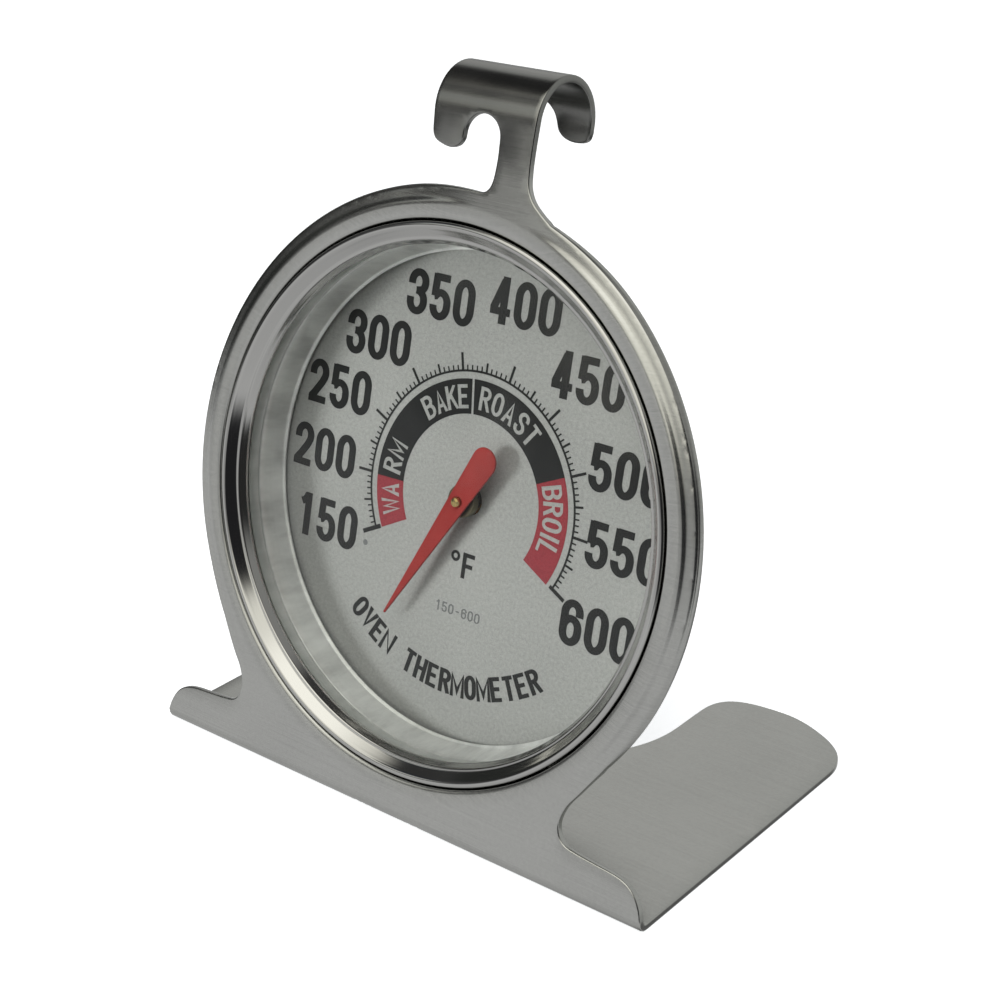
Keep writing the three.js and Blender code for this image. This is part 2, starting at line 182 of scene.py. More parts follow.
def centred_arc(radius, start, end, count, z=0.0):
    """Arc about a point on x = 0, angles in radians from +x."""
    angles = [start + (end - start) * i / count for i in range(count + 1)]
    return [(radius * math.cos(a), z + radius * math.sin(a)) for a in angles]


def spline(points, steps=4, closed=True):
    """Catmull-Rom curve through 2-D points. A point with a third item is a corner."""
    count = len(points)
    spots = [np.array(p[:2], float) for p in points]
    corner = [len(p) > 2 for p in points]
    curve = []
    for i in range(count if closed else count - 1):
        start, end = spots[i], spots[(i + 1) % count]
        leave = arrive = chord = end - start
        length = np.linalg.norm(chord)
        if (closed or i > 0) and not corner[i]:
            before = spots[(i - 1) % count]
            span = length + np.linalg.norm(start - before)
            leave = (end - before) / max(span, 1e-9) * length
        if (closed or i + 2 < count) and not corner[(i + 1) % count]:
            after = spots[(i + 2) % count]
            span = np.linalg.norm(after - end) + length
            arrive = (after - start) / max(span, 1e-9) * length
        for k in range(steps):
            t = k / steps
            t2, t3 = t * t, t * t * t
            curve.append((2 * t3 - 3 * t2 + 1) * start + (t3 - 2 * t2 + t) * leave
                         + (-2 * t3 + 3 * t2) * end + (t3 - t2) * arrive)
    if not closed:
        curve.append(spots[-1])
    return [tuple(p) for p in curve]


def round_corners(points, steps=4):
    """Closed polygon of (x, y, corner radius), each corner replaced by a short curve."""
    out = []
    for i, (*corner, radius) in enumerate(points):
        corner = np.array(corner, float)
        if radius <= 0:
            out.append(tuple(corner))
            continue
        back = np.array(points[i - 1][:2], float) - corner
        ahead = np.array(points[(i + 1) % len(points)][:2], float) - corner
        back_length, ahead_length = np.linalg.norm(back), np.linalg.norm(ahead)
        back /= back_length
        ahead /= ahead_length
        angle = math.acos(float(back @ ahead))
        reach = min(radius / math.tan(angle / 2), back_length * 0.49, ahead_length * 0.49)
        start, end = corner + back * reach, corner + ahead * reach
        for k in range(steps + 1):
            t = k / steps
            out.append(tuple((1 - t) ** 2 * start + 2 * t * (1 - t) * corner + t * t * end))
    return out


def rounded_box(x0, x1, y0, y1, radius, steps=4):
    return round_corners([(x0, y0, radius), (x1, y0, radius), (x1, y1, radius),
                          (x0, y1, radius)], steps)


def lathe_data(profile, segments, closed=True):
    """Revolve an outline about the dial axis. An open outline starts and ends on the axis."""
    verts, faces, rings = [], [], []
    for radius, depth in profile:
        if radius < 1e-6:
            rings.append([len(verts)] * segments)
            verts.append((0, depth, 0))
            continue
        rings.append(list(range(len(verts), len(verts) + segments)))
        for k in range(segments):
            angle = 2 * math.pi * k / segments
            verts.append((radius * math.sin(angle), depth, radius * math.cos(angle)))
    for i in range(len(profile) if closed else len(profile) - 1):
        a, b = rings[i], rings[(i + 1) % len(profile)]
        for k in range(segments):
            j = (k + 1) % segments
            face = tuple(dict.fromkeys((a[k], a[j], b[j], b[k])))
            if len(face) > 2:
                faces.append(face)
    return np.array(verts, float), faces


def lathe(name, profile, finish, segments, closed=True, x=0.0, **options):
    """Turned part whose axis stands at x."""
    verts, faces = lathe_data(profile, segments, closed)
    return make(name, verts + np.array([x, 0, 0]), faces, finish, grain=verts, **options)


def box_data(x0, x1, y0, y1, z0, z1):
    verts = [(x, y, z) for x in (x0, x1) for y in (y0, y1) for z in (z0, z1)]
    faces = [(0, 1, 3, 2), (4, 6, 7, 5), (0, 4, 5, 1), (2, 3, 7, 6), (0, 2, 6, 4), (1, 5, 7, 3)]
    return np.array(verts, float), faces


def tube_faces(rings, size):
    """Faces of a capped tube of point rings, each with size points."""
    faces = []
    for i in range(rings - 1):
        for k in range(size):
            j = (k + 1) % size
            faces.append((i * size + k, i * size + j, (i + 1) * size + j, (i + 1) * size + k))
    faces.append(tuple(range(size)))
    faces.append(tuple(reversed(range((rings - 1) * size, rings * size))))
    return faces


# ------------------------------------------------------------------ flat outlines and sheets
def signed_area(loop):
    return sum(x0 * y1 - x1 * y0 for (x0, y0), (x1, y1) in zip(loop[-1:] + loop[:-1], loop))


def resample(loop, step):
    """Split the long edges of a closed loop and drop repeated points."""
    out = []
    for i, point in enumerate(loop):
        start, end = np.array(point, float), np.array(loop[(i + 1) % len(loop)], float)
        length = np.linalg.norm(end - start)
        if length < 1e-4:
            continue
        count = max(1, int(math.ceil(length / step)))
        out += [tuple(start + (end - start) * j / count) for j in range(count)]
    return out


def inset(loop, distance):
    """Move a loop to the left of its travel: inward if it is counter-clockwise."""
    spots = np.array(loop, float)
    along = np.roll(spots, -1, 0) - spots
    along /= np.maximum(np.linalg.norm(along, axis=1), 1e-9)[:, None]
    normal = np.stack([-along[:, 1], along[:, 0]], 1)
    middle = normal + np.roll(normal, 1, 0)
    middle /= np.maximum(np.linalg.norm(middle, axis=1), 1e-6)[:, None]
    stretch = 1 / np.maximum((middle * normal).sum(1), 0.6)
    return spots + middle * (distance * stretch)[:, None]


def inside(points, loop):
    """Which points lie in a loop, by counting crossings."""
    loop = np.asarray(loop, float)
    x, y = points[:, 0], points[:, 1]
    result = np.zeros(len(points), bool)
    for (x0, y0), (x1, y1) in zip(loop, np.roll(loop, -1, 0)):
        if y0 != y1:
            crosses = (y0 > y) != (y1 > y)
            result ^= crosses & (x < (x1 - x0) * (y - y0) / (y1 - y0) + x0)
    return result


def inside_loops(points, loops):
    """Which points lie in an odd number of loops."""
    result = np.zeros(len(points), bool)
    for loop in loops:
        result ^= inside(points, loop)
    return result


def delaunay(loops, points, tolerance, track):
    """Constrained triangulation: vertices, triangles, their centres, and source indices."""
    verts, edges = [], []
    for loop in loops:
        start, count = len(verts), len(loop)
        verts += [Vector((float(x), float(y))) for x, y in loop]
        edges += [(start + i, start + (i + 1) % count) for i in range(count)]
    verts += [Vector((float(x), float(y))) for x, y in points]
    verts, _, faces, sources, *_ = delaunay_2d_cdt(verts, edges, [], 0, tolerance, track)
    verts = np.array([tuple(v) for v in verts])
    faces = np.array([tuple(face) for face in faces if len(face) == 3])
    return verts, faces, verts[faces].mean(1), sources


# rounding of a cut edge: (inset, depth) as fractions of its size
EDGE_CURVE = ((1, 0), (0.62, 0.08), (0.29, 0.29), (0.08, 0.62), (0, 1))


def sheet(name, loops, form, finish, thickness, edge, points=(), turn=0.0, **options):
    """Formed sheet with rounded cut edges. loops are outlines in the flat blank, outer first,
    then holes. form maps blank points to front points and front normals."""
    loops = [list(reversed(loop)) if (signed_area(loop) < 0) == (i == 0) else loop
             for i, loop in enumerate(loops)]
    rows = [(edge * across, edge * depth) for across, depth in EDGE_CURVE]
    rows += [(across, thickness - depth) for across, depth in reversed(rows)]
    insets = [inset(loop, edge) for loop in loops]
    flat, triangles, centres, sources = delaunay(insets, points, 1e-7, True)
    triangles = triangles[inside_loops(centres, insets)]
    output_of = {}
    for index, origins in enumerate(sources):
        for origin in origins:
            output_of.setdefault(origin, index)

    size = len(flat)
    front, normals = form(flat)
    verts = [front, front - normals * thickness]
    grain = [np.column_stack([flat, np.full(size, depth)]) for depth in (0.0, thickness)]
    faces = [tuple(face) for face in triangles]
    faces += [tuple(face[::-1] + size) for face in triangles]
    count = 2 * size
    start = 0
    for loop in loops:
        length = len(loop)
        rim = [output_of[start + i] for i in range(length)]
        rings = [rim]
        for across, depth in rows[1:-1]:
            flat_ring = inset(loop, across)
            ring, ring_normals = form(flat_ring)
            verts.append(ring - ring_normals * depth)
            grain.append(np.column_stack([flat_ring, np.full(length, depth)]))
            rings.append(list(range(count, count + length)))
            count += length
        rings.append([i + size for i in rim])
        for a, b in zip(rings[:-1], rings[1:]):
            for i in range(length):
                j = (i + 1) % length
                if len({a[i], a[j], b[j], b[i]}) == 4:
                    faces.append((a[j], a[i], b[i], b[j]))
        start += length
    verts = turned(np.concatenate(verts), turn)
    return make(name, verts, faces, finish, grain=np.concatenate(grain), **options)


def monotone(xs, ys):
    """Monotone cubic through the stations, with level ends."""
    xs, ys = np.array(xs, float), np.array(ys, float)
    gap = np.diff(xs)
    rise = np.diff(ys) / gap
    slope = np.zeros(len(xs))
    for i in range(1, len(xs) - 1):
        if rise[i - 1] * rise[i] > 0:
            w1, w2 = 2 * gap[i] + gap[i - 1], gap[i] + 2 * gap[i - 1]
            slope[i] = (w1 + w2) / (w1 / rise[i - 1] + w2 / rise[i])

    def curve(x):
        x = np.clip(x, xs[0], xs[-1])
        i = np.clip(np.searchsorted(xs, x) - 1, 0, len(xs) - 2)
        t = (x - xs[i]) / gap[i]
        return ((1 + 2 * t) * (1 - t) ** 2 * ys[i] + t * (1 - t) ** 2 * gap[i] * slope[i]
                + t * t * (3 - 2 * t) * ys[i + 1] + t * t * (t - 1) * gap[i] * slope[i + 1])
    return curve


def smoothstep(x, start, end):
    t = np.clip((x - start) / (end - start), 0, 1)
    return t * t * (3 - 2 * t)


# ------------------------------------------------------------------ shader helpers
class Shader:
    """Short ways to build a node tree."""

    def __init__(self, owner, output="ShaderNodeOutputMaterial"):
        owner.use_nodes = True
        self.tree = owner.node_tree
        self.tree.nodes.clear()
        self.output = self.node(output)

    def node(self, kind, inputs=(), **settings):
        """New node. inputs maps socket names or numbers to values or other sockets."""
        node = self.tree.nodes.new(kind)
        for key, value in settings.items():
            setattr(node, key, value)
        for key, value in dict(inputs).items():
            self.feed(node.inputs[key], value)
        return node

    def feed(self, socket, value):
        if isinstance(value, bpy.types.NodeSocket):
            self.tree.links.new(value, socket)
        elif socket.type == "RGBA":
            socket.default_value = (*value, 1)
        else:
            socket.default_value = value

    def surface(self, shader):
        self.feed(self.output.inputs[0], shader.outputs[0])

    def principled(self, **inputs):
        named = {key.replace("_", " "): value for key, value in inputs.items()}
        self.surface(self.node("ShaderNodeBsdfPrincipled", named))

    def mix_shader(self, factor, first, second):
        return self.node("ShaderNodeMixShader",
                         {0: factor, 1: first.outputs[0], 2: second.outputs[0]})

    def math(self, operation, *values):
        return self.node("ShaderNodeMath", enumerate(values), operation=operation).outputs[0]

    def scaled(self, value, factor, offset):
        return self.math("ADD", self.math("MULTIPLY", value, factor), offset)

    def weighted(self, *terms):
        """Sum of (value, weight) pairs."""
        first = self.math("MULTIPLY", *terms[0])
        return self.math("ADD", first, self.weighted(*terms[1:])) if terms[1:] else first

    def smooth_range(self, value, start, end, low=0.0, high=1.0):
        return self.node("ShaderNodeMapRange", {
            "Value": value, "From Min": start, "From Max": end, "To Min": low, "To Max": high,
        }, interpolation_type="SMOOTHSTEP").outputs[0]

    def dimmed(self, colour, factor):
        return self.node("ShaderNodeVectorMath", {0: colour, "Scale": factor},
                         operation="SCALE").outputs[0]

    def ramp(self, factor, stops):
        """Colour ramp of (position, grey or colour) stops."""
        node = self.node("ShaderNodeValToRGB", {0: factor})
        elements = node.color_ramp.elements
        while len(elements) > 1:
            elements.remove(elements[-1])
        for i, (position, colour) in enumerate(stops):
            element = elements.new(position) if i else elements[0]
            element.position = position
            element.color = (*(colour if isinstance(colour, tuple) else (colour,) * 3), 1)
        return node.outputs[0]

    def grain(self):
        return self.node("ShaderNodeAttribute", attribute_name="grain").outputs["Vector"]

    def noise(self, vector, detail, roughness, scale=None, offset=(0, 0, 0)):
        """Noise at a vector, which is stretched first if a scale is given."""
        if scale is not None:
            scale = scale if isinstance(scale, tuple) else (scale,) * 3
            vector = self.node("ShaderNodeMapping", {
                "Vector": vector, "Scale": scale, "Location": offset}).outputs[0]
        return self.node("ShaderNodeTexNoise", {
            "Vector": vector, "Scale": 1.0, "Detail": detail, "Roughness": roughness,
        }).outputs["Fac"]

    def polar(self, vector):
        """Angle, radius and depth of a point about the dial axis."""
        x, depth, z = self.node("ShaderNodeSeparateXYZ", {0: vector}).outputs
        square = self.math("ADD", self.math("MULTIPLY", x, x), self.math("MULTIPLY", z, z))
        return self.math("ARCTAN2", x, z), self.math("SQRT", square), depth

    def vector(self, *parts):
        return self.node("ShaderNodeCombineXYZ", enumerate(parts)).outputs[0]

    def bump(self, height, strength, distance):
        """Bump normal, distance in metres."""
        return self.node("ShaderNodeBump", {
            "Height": height, "Strength": strength, "Distance": distance}).outputs[0]


FINISHES = {}


def new_finish(name):
    FINISHES[name] = bpy.data.materials.new(name)
    return Shader(FINISHES[name])


def linear(*colour):
    """Linear colour from display values."""
    return tuple(((c + 0.055) / 1.055) ** 2.4 for c in colour)


def shade(colour, factor, lift=0.0):
    return tuple(min(1, c * factor + lift) for c in colour)


# ------------------------------------------------------------------ materials
def brushed_stainless():
    """Rolled stainless sheet: fine lines along x of the blank, faint clouding and flecks, with
    painted shade up the hook and where the sheet faces itself.
    """
    base = (0.545, 0.55, 0.53)
    s = new_finish("brushed_stainless")
    grain = s.grain()
    lines = s.noise(grain, scale=(0.05, 9.0, 1.0), detail=5, roughness=0.6)
    fine = s.noise(grain, scale=(0.115, 27.9, 2.3), offset=(3, 7, 0), detail=3, roughness=0.6)
    cloud = s.noise(grain, scale=0.09, offset=(5, 2, 0), detail=3, roughness=0.5)
    fleck = s.noise(grain, scale=(2.4, 2.4, 1.0), offset=(11, 4, 0), detail=2, roughness=0.5)
    mottle = s.weighted((lines, 0.45), (cloud, 0.35), (fleck, 0.2))
    colour = s.ramp(mottle, [(0.30, shade(base, 0.86)), (0.5, base), (0.72, shade(base, 1.12))])
    # painted shade: the colour is dimmed up the strip of the hook
    blank_z = s.node("ShaderNodeSeparateXYZ", {0: grain}).outputs[1]
    colour = s.dimmed(colour, s.smooth_range(blank_z, start=34.6, end=38.4, low=1.0, high=0.54))
    # painted shade where the sheet faces itself: the colour is dimmed by ambient occlusion,
    # distance in metres
    occlusion = s.node("ShaderNodeAmbientOcclusion", {"Distance": 0.014},
                       samples=6, only_local=True).outputs["AO"]
    openness = s.math("MINIMUM", s.math("DIVIDE", occlusion, 0.80), 1.0)
    openness = s.math("POWER", openness, 1.7)
    colour = s.dimmed(colour, s.scaled(openness, factor=0.88, offset=0.12))
    height = s.math("ADD", lines, s.math("MULTIPLY", fine, 0.6))
    s.principled(
        Base_Color=colour, Metallic=1.0, Anisotropic=0.45,
        Roughness=s.scaled(s.math("ADD", lines, cloud), factor=0.10, offset=0.12),
        Normal=s.bump(height, strength=0.10, distance=0.00004))


def spun_metal(name, base, roughness, ring_share, contrast, bump, metallic=1.0, axial=False):
    """Turned or polished metal: rings round the dial axis mixed with clouding, or with
    streaks along the axis if axial."""
    s = new_finish(name)
    angle, radius, depth = s.polar(s.grain())
    # rings vary with radius and depth, hardly with angle
    rings = s.noise(s.vector(s.math("MULTIPLY", angle, 0.35), s.math("MULTIPLY", radius, 7.0),
                             s.math("MULTIPLY", depth, 7.0)), detail=4, roughness=0.6)
    sine, cosine = s.math("SINE", angle), s.math("COSINE", angle)
    if axial:
        cloud = s.noise(s.vector(s.math("MULTIPLY", sine, 9.0), s.math("MULTIPLY", cosine, 9.0),
                                 s.math("MULTIPLY", depth, 0.12)), detail=4, roughness=0.62)
    else:
        cloud = s.noise(s.vector(sine, cosine, radius), scale=(3.2, 3.2, 0.25),
                        detail=3, roughness=0.55)
    mottle = s.weighted((rings, ring_share), (cloud, 1.0 - ring_share))
    dark, light = shade(base, 1 - contrast * 1.6), shade(base, 1 + contrast)
    s.principled(
        Base_Color=s.ramp(mottle, [(0.32, dark), (0.52, base), (0.70, light)]),
        Metallic=metallic,
        Roughness=s.scaled(mottle, factor=roughness * 0.6, offset=roughness * 0.7),
        Normal=s.bump(rings, strength=bump, distance=0.00004))


def dial_satin():
    """Satin silver lacquer with fine speckle."""
    s = new_finish("dial_satin")
    grain = s.grain()
    fine = s.noise(grain, scale=7.0, detail=3, roughness=0.7)
    coarse = s.noise(grain, scale=2.6, offset=(4, 1, 9), detail=2, roughness=0.5)
    cloud = s.noise(grain, scale=0.06, detail=2, roughness=0.5)
    s.principled(
        Base_Color=s.ramp(s.weighted((fine, 0.55), (coarse, 0.3), (cloud, 0.15)), [
            (0.34, linear(0.585, 0.59, 0.58)), (0.50, linear(0.67, 0.675, 0.665)),
            (0.66, linear(0.745, 0.75, 0.74))]),
        Metallic=0.35,
        Roughness=s.scaled(fine, factor=0.16, offset=0.42),
        Normal=s.bump(fine, strength=0.12, distance=0.00005))


def print_ink(name, base, roughness):
    """Printed ink with slight mottle."""
    s = new_finish(name)
    mottle = s.noise(s.grain(), scale=6.0, detail=3, roughness=0.65)
    s.principled(
        Base_Color=s.ramp(mottle, [(0.35, shade(base, 0.82)), (0.65, shade(base, 1.18, 0.004))]),
        Roughness=s.scaled(mottle, factor=0.15, offset=roughness - 0.08),
        Normal=s.bump(mottle, strength=0.10, distance=0.00003))


def pointer_red():
    """Sprayed enamel with fine orange peel."""
    base = (0.27, 0.010, 0.007)
    s = new_finish("pointer_red")
    grain = s.grain()
    peel = s.noise(grain, scale=1.7, detail=3, roughness=0.55)
    mottle = s.noise(grain, scale=0.5, offset=(2, 8, 1), detail=3, roughness=0.5)
    fine = s.noise(grain, scale=9.0, detail=2, roughness=0.6)
    s.principled(
        Base_Color=s.ramp(s.weighted((mottle, 0.6), (fine, 0.4)), [
            (0.3, shade(base, 0.86)), (0.55, base), (0.75, shade(base, 1.12, 0.01))]),
        Roughness=s.scaled(fine, factor=0.08, offset=0.36),
        Normal=s.bump(peel, strength=0.15, distance=0.00006),
        Coat_Weight=0.12, Coat_Roughness=0.25)


def bimetal_strip():
    """Metal strip tinted from straw to blue."""
    s = new_finish("bimetal_strip")
    grain = s.grain()
    tint = s.noise(grain, scale=(0.25, 0.25, 0.9), detail=3, roughness=0.5)
    lines = s.noise(grain, scale=(0.4, 0.4, 12.0), detail=4, roughness=0.6)
    s.principled(
        Base_Color=s.ramp(tint, [
            (0.30, (0.42, 0.33, 0.20)), (0.48, (0.50, 0.38, 0.22)),
            (0.60, (0.38, 0.27, 0.22)), (0.75, (0.26, 0.28, 0.36))]),
        Metallic=1.0,
        Roughness=s.scaled(lines, factor=0.2, offset=0.24),
        Normal=s.bump(lines, strength=0.10, distance=0.00004))


def lens_glass():
    """Clear flat glass. Shadow rays pass straight through, so the dial is lit."""
    s = new_finish("lens_glass")
    grain = s.grain()
    rays = s.node("ShaderNodeLightPath")
    fresnel = s.node("ShaderNodeFresnel", {"IOR": 1.36})
    backfacing = s.node("ShaderNodeNewGeometry").outputs["Backfacing"]
    smear = s.noise(grain, scale=0.12, offset=(7, 3, 2), detail=3, roughness=0.5)
    glossy = s.node("ShaderNodeBsdfGlossy", {
        "Color": (1, 1, 1), "Roughness": s.scaled(smear, factor=0.03, offset=0.0)})
    clear = s.node("ShaderNodeBsdfTransparent", {"Color": (0.975, 0.98, 0.975)})
    share = s.math("MULTIPLY", fresnel.outputs[0], s.math("SUBTRACT", 1.0, backfacing))
    share = s.math("MULTIPLY", share, s.math("SUBTRACT", 1.0, rays.outputs["Is Shadow Ray"]))
    s.surface(s.mix_shader(share, clear, glossy))


def glass_edge():
    """Ground rim of the glass."""
    s = new_finish("glass_edge")
    angle, radius, _ = s.polar(s.grain())
    unrolled = s.vector(s.math("SINE", angle), s.math("COSINE", angle), radius)
    mottle = s.noise(unrolled, scale=(9.0, 9.0, 0.2), detail=4, roughness=0.6)
    s.principled(
        Base_Color=s.ramp(mottle, [(0.3, (0.52, 0.54, 0.52)), (0.55, (0.64, 0.655, 0.635)),
                                   (0.75, (0.74, 0.75, 0.73))]),
        Roughness=0.32, Metallic=0.65,
        Normal=s.bump(mottle, strength=0.1, distance=0.00005))


brushed_stainless()
spun_metal("polished_stainless", base=(0.575, 0.575, 0.56), roughness=0.11,
           ring_share=0.36, contrast=0.05, bump=0.03)
spun_metal("case_stainless", base=(0.56, 0.565, 0.55), roughness=0.30,
           ring_share=0.405, contrast=0.10, bump=0.10)
spun_metal("spacer_stainless", base=(0.79, 0.80, 0.78), roughness=0.32,
           ring_share=0.09, contrast=0.16, bump=0.04, metallic=0.55, axial=True)
dial_satin()
print_ink("print_black", base=linear(0.07, 0.075, 0.08), roughness=0.55)
print_ink("print_red", base=(0.245, 0.026, 0.036), roughness=0.5)
print_ink("print_grey", base=linear(0.42, 0.43, 0.43), roughness=0.55)
pointer_red()
spun_metal("plain_steel", base=(0.44, 0.44, 0.43), roughness=0.32,
           ring_share=0.225, contrast=0.12, bump=0.06)
spun_metal("movement_brass", base=(0.56, 0.41, 0.17), roughness=0.24,
           ring_share=0.405, contrast=0.10, bump=0.10)
# painted shade: the hub's brass is darkened to stand for the shade under the pointer
spun_metal("hub_brass_painted_shade", base=(0.17, 0.15, 0.10), roughness=0.34,
           ring_share=0.315, contrast=0.12, bump=0.08)
spun_metal("staff_brass", base=(0.62, 0.47, 0.20), roughness=0.22,
           ring_share=0.405, contrast=0.08, bump=0.06)
bimetal_strip()
lens_glass()
glass_edge()

# ------------------------------------------------------------------ stand form
# The blank is laid out in (x, z) of the face and runs on past the fold and the hook.
FOLD_SETBACK = FOLD_R / math.tan((math.pi / 2 - LEAN) / 2)
FOLD_ANGLE = math.pi / 2 + LEAN
FOLD_START = -FACE_H + FOLD_SETBACK
FOLD_END = FOLD_START - FOLD_R * FOLD_ANGLE

# seat round the opening: blank radius, front radius, front depth, back radius, back depth
SEAT = [
    (28.0, 28.0, 2.0, 28.0, 2.8),
    (30.0, 29.85, 2.0, 30.2, 2.8),
    (30.18, 29.97, 1.94, 30.55, 2.77),
    (30.32, 30.04, 1.78, 30.8, 2.68),
    (30.46, 30.07, 1.4, 31.0, 2.5),
    (30.6, 30.09, 0.85, 31.1, 2.2),
    (30.76, 30.13, 0.38, 31.12, 1.75),
    (31.0, 30.26, 0.19, 31.16, 1.2),
    (31.3, 30.8, 0.085, 31.3, 0.88),
    (31.6, 31.4, 0.02, 31.55, 0.81),
    (31.8, 31.8, 0.0, 31.8, 0.8),
]
SEAT_R = SEAT[-1][0]
SEAT_CURVES = [monotone([row[0] for row in SEAT], [row[i] for row in SEAT])
               for i in range(1, 5)]
# step outside the seat: radius, depth
STEP = [(SEAT_R, 0.0), (31.95, 0.025), (32.1, 0.095), (32.3, 0.24), (32.5, 0.315),
        (32.8, 0.36), (33.15, 0.42), (33.4, 0.495), (RING_R, 0.64)]
step_depth = monotone(*zip(*STEP))


def relief(flat):
    """Depth of the stamped front surface, outside the seat."""
    x, z = flat[:, 0], flat[:, 1]
    radius = np.hypot(x, z)
    from_top = np.degrees(np.arctan2(x, z))
    from_bottom = np.degrees(np.arctan2(np.abs(x), -z))
    # the step fades out at the neck of the hook and above the fold
    neck = smoothstep(from_top, -15.0, 3.0) * (1 - smoothstep(from_top, 13.0, 38.0))
    skirt = 1 - smoothstep(from_bottom, 44.0, 68.0)
    fade = np.exp(-np.clip(radius - RING_R, 0, 9) / 1.2)
    depth = step_depth(np.minimum(radius, RING_R)) * fade
    return np.where(z > 37.2, 0.0, depth * (1 - np.maximum(neck, skirt)))


def stand_form(flat):
    flat = np.asarray(flat, float)
    x, z = flat[:, 0], flat[:, 1]
    points = np.zeros((len(flat), 3))
    normals = np.zeros((len(flat), 3))
    points[:, 0] = x

    def lay(where, depth, height, normal_y, normal_z):
        points[where, 1], points[where, 2] = depth, height
        normals[where, 1], normals[where, 2] = normal_y, normal_z

    face = (z <= HOOK_Z) & (z >= FOLD_START)
    plane = flat[face]
    h = 0.02
    slope_x = (relief(plane + [h, 0]) - relief(plane - [h, 0])) / (2 * h)
    slope_z = (relief(plane + [0, h]) - relief(plane - [0, h])) / (2 * h)
    points[face, 1], points[face, 2] = relief(plane), z[face]
    normal = np.stack([slope_x, -np.ones(len(plane)), slope_z], 1)
    normals[face] = normal / np.linalg.norm(normal, axis=1)[:, None]

    radius = np.maximum(np.hypot(x, z), 1e-6)
    seat = face & (radius < SEAT_R)
    r = radius[seat]
    front_r, front_y, back_r, back_y = [curve(r) for curve in SEAT_CURVES]
    out_x, out_z = x[seat] / r, z[seat] / r
    points[seat] = np.stack([out_x * front_r, front_y, out_z * front_r], 1)
    across = front_r - back_r
    normals[seat] = np.stack([out_x * across, front_y - back_y, out_z * across], 1) / THICK

    fold = (z < FOLD_START) & (z >= FOLD_END)
    bend = np.clip((FOLD_START - z[fold]) / FOLD_R, 0, FOLD_ANGLE)
    lay(fold, FOLD_R * (1 - np.cos(bend)), FOLD_START - FOLD_R * np.sin(bend),
        -np.cos(bend), -np.sin(bend))

    foot = z < FOLD_END
    run = FOLD_END - z[foot]
    lay(foot, FOLD_R * (1 - math.cos(FOLD_ANGLE)) + run * math.cos(LEAN),
        FOLD_START - FOLD_R * math.sin(FOLD_ANGLE) + run * math.sin(LEAN),
        math.sin(LEAN), -math.cos(LEAN))

    bend = (z - HOOK_Z) / HOOK_R
    hook = (z > HOOK_Z) & (bend <= math.pi)
    tail = bend > math.pi
    turn = bend[hook]
    lay(hook, HOOK_R - HOOK_R * np.cos(turn), HOOK_Z + HOOK_R * np.sin(turn),
        -np.cos(turn), np.sin(turn))
    lay(tail, 2 * HOOK_R, HOOK_Z - (z[tail] - HOOK_Z - HOOK_R * math.pi), 1.0, 0.0)
    return points, normals


# ------------------------------------------------------------------ stand outline
SCOOP_R = 15.1  # round cutout between the two lobes of the foot
SCOOP_CENTRE = 35.2  # from the sharp corner of the fold

# Outline pieces are (x, z) in the blank. A third item marks a corner.
# right lobe of the foot: x, distance along the foot from the sharp corner
FOOT_LOBE = [
    (HALF_W, 4.0, 1), (HALF_W, 37.0), (34.0, 39.2), (33.4, 41.0), (32.3, 42.5), (30.6, 43.8),
    (28.6, 44.8), (26.4, 45.6), (24.1, FOOT_L), (21.0, 45.85), (18.6, 45.4), (16.9, 44.6),
    (15.8, 43.4), (15.25, 41.9), (SCOOP_R, 40.0), (SCOOP_R, 37.0, 1),
]
# right side from the fold up to the ring
EAR = [
    (HALF_W, -33.9), (33.7, -32.6), (32.9, -31.3), (31.75, -30.45), (30.2, -30.05),
    (27.8, -29.85), (25.1, -29.6), (23.85, -29.3), (23.1, -28.55), (22.8, -27.5),
    (22.95, -26.45), (23.5, -25.15), (24.6, -23.6), (25.85, -21.72), (27.0, -20.0),
]
NECK_LEFT = [(2.0, 33.54), (2.65, 33.75), (3.15, 34.35), (3.42, 35.4), (3.55, 37.3),
             (3.5, 38.95, 1)]
NOTCH = dict(x=1.2, z=38.95, radius=2.3)  # half-round notch beside the neck
# rounded finger left of the notch, up to the left edge of the hook
FINGER = [(-1.1, 38.95), (-1.18, 38.35), (-1.65, 37.7), (-2.6, 37.35), (-3.8, 37.55),
          (-4.7, 37.95), (-5.08, 38.6), (-5.2, 39.6), (HOOK_LEFT, 41.2, 1)]
HOOK_EDGE = [(HOOK_LEFT, 45.0), (HOOK_LEFT, 50.0), (HOOK_LEFT, 53.3), (-5.2, 53.7),
             (-4.9, 53.94)]
HOOK_END = [
    (-4.4, 53.96), (-2.0, 53.94), (-0.2, 53.95), (1.2, 54.17), (2.3, 54.96), (3.0, 55.9),
    (3.45, 57.0), (3.8, 57.8), (4.45, 58.36), (5.3, 58.66), (6.2, 58.74), (7.1, 58.6),
    (7.6, 58.25), (HOOK_RIGHT, 57.6),
]
NECK_RIGHT = [(HOOK_RIGHT, HOOK_Z, 1), (7.72, 38.6), (7.75, 36.4), (7.95, 34.9), (8.6, 33.7),
              (9.7, 32.7), (11.1, 31.71)]


def polar_angle(point):
    return math.atan2(point[1], point[0])


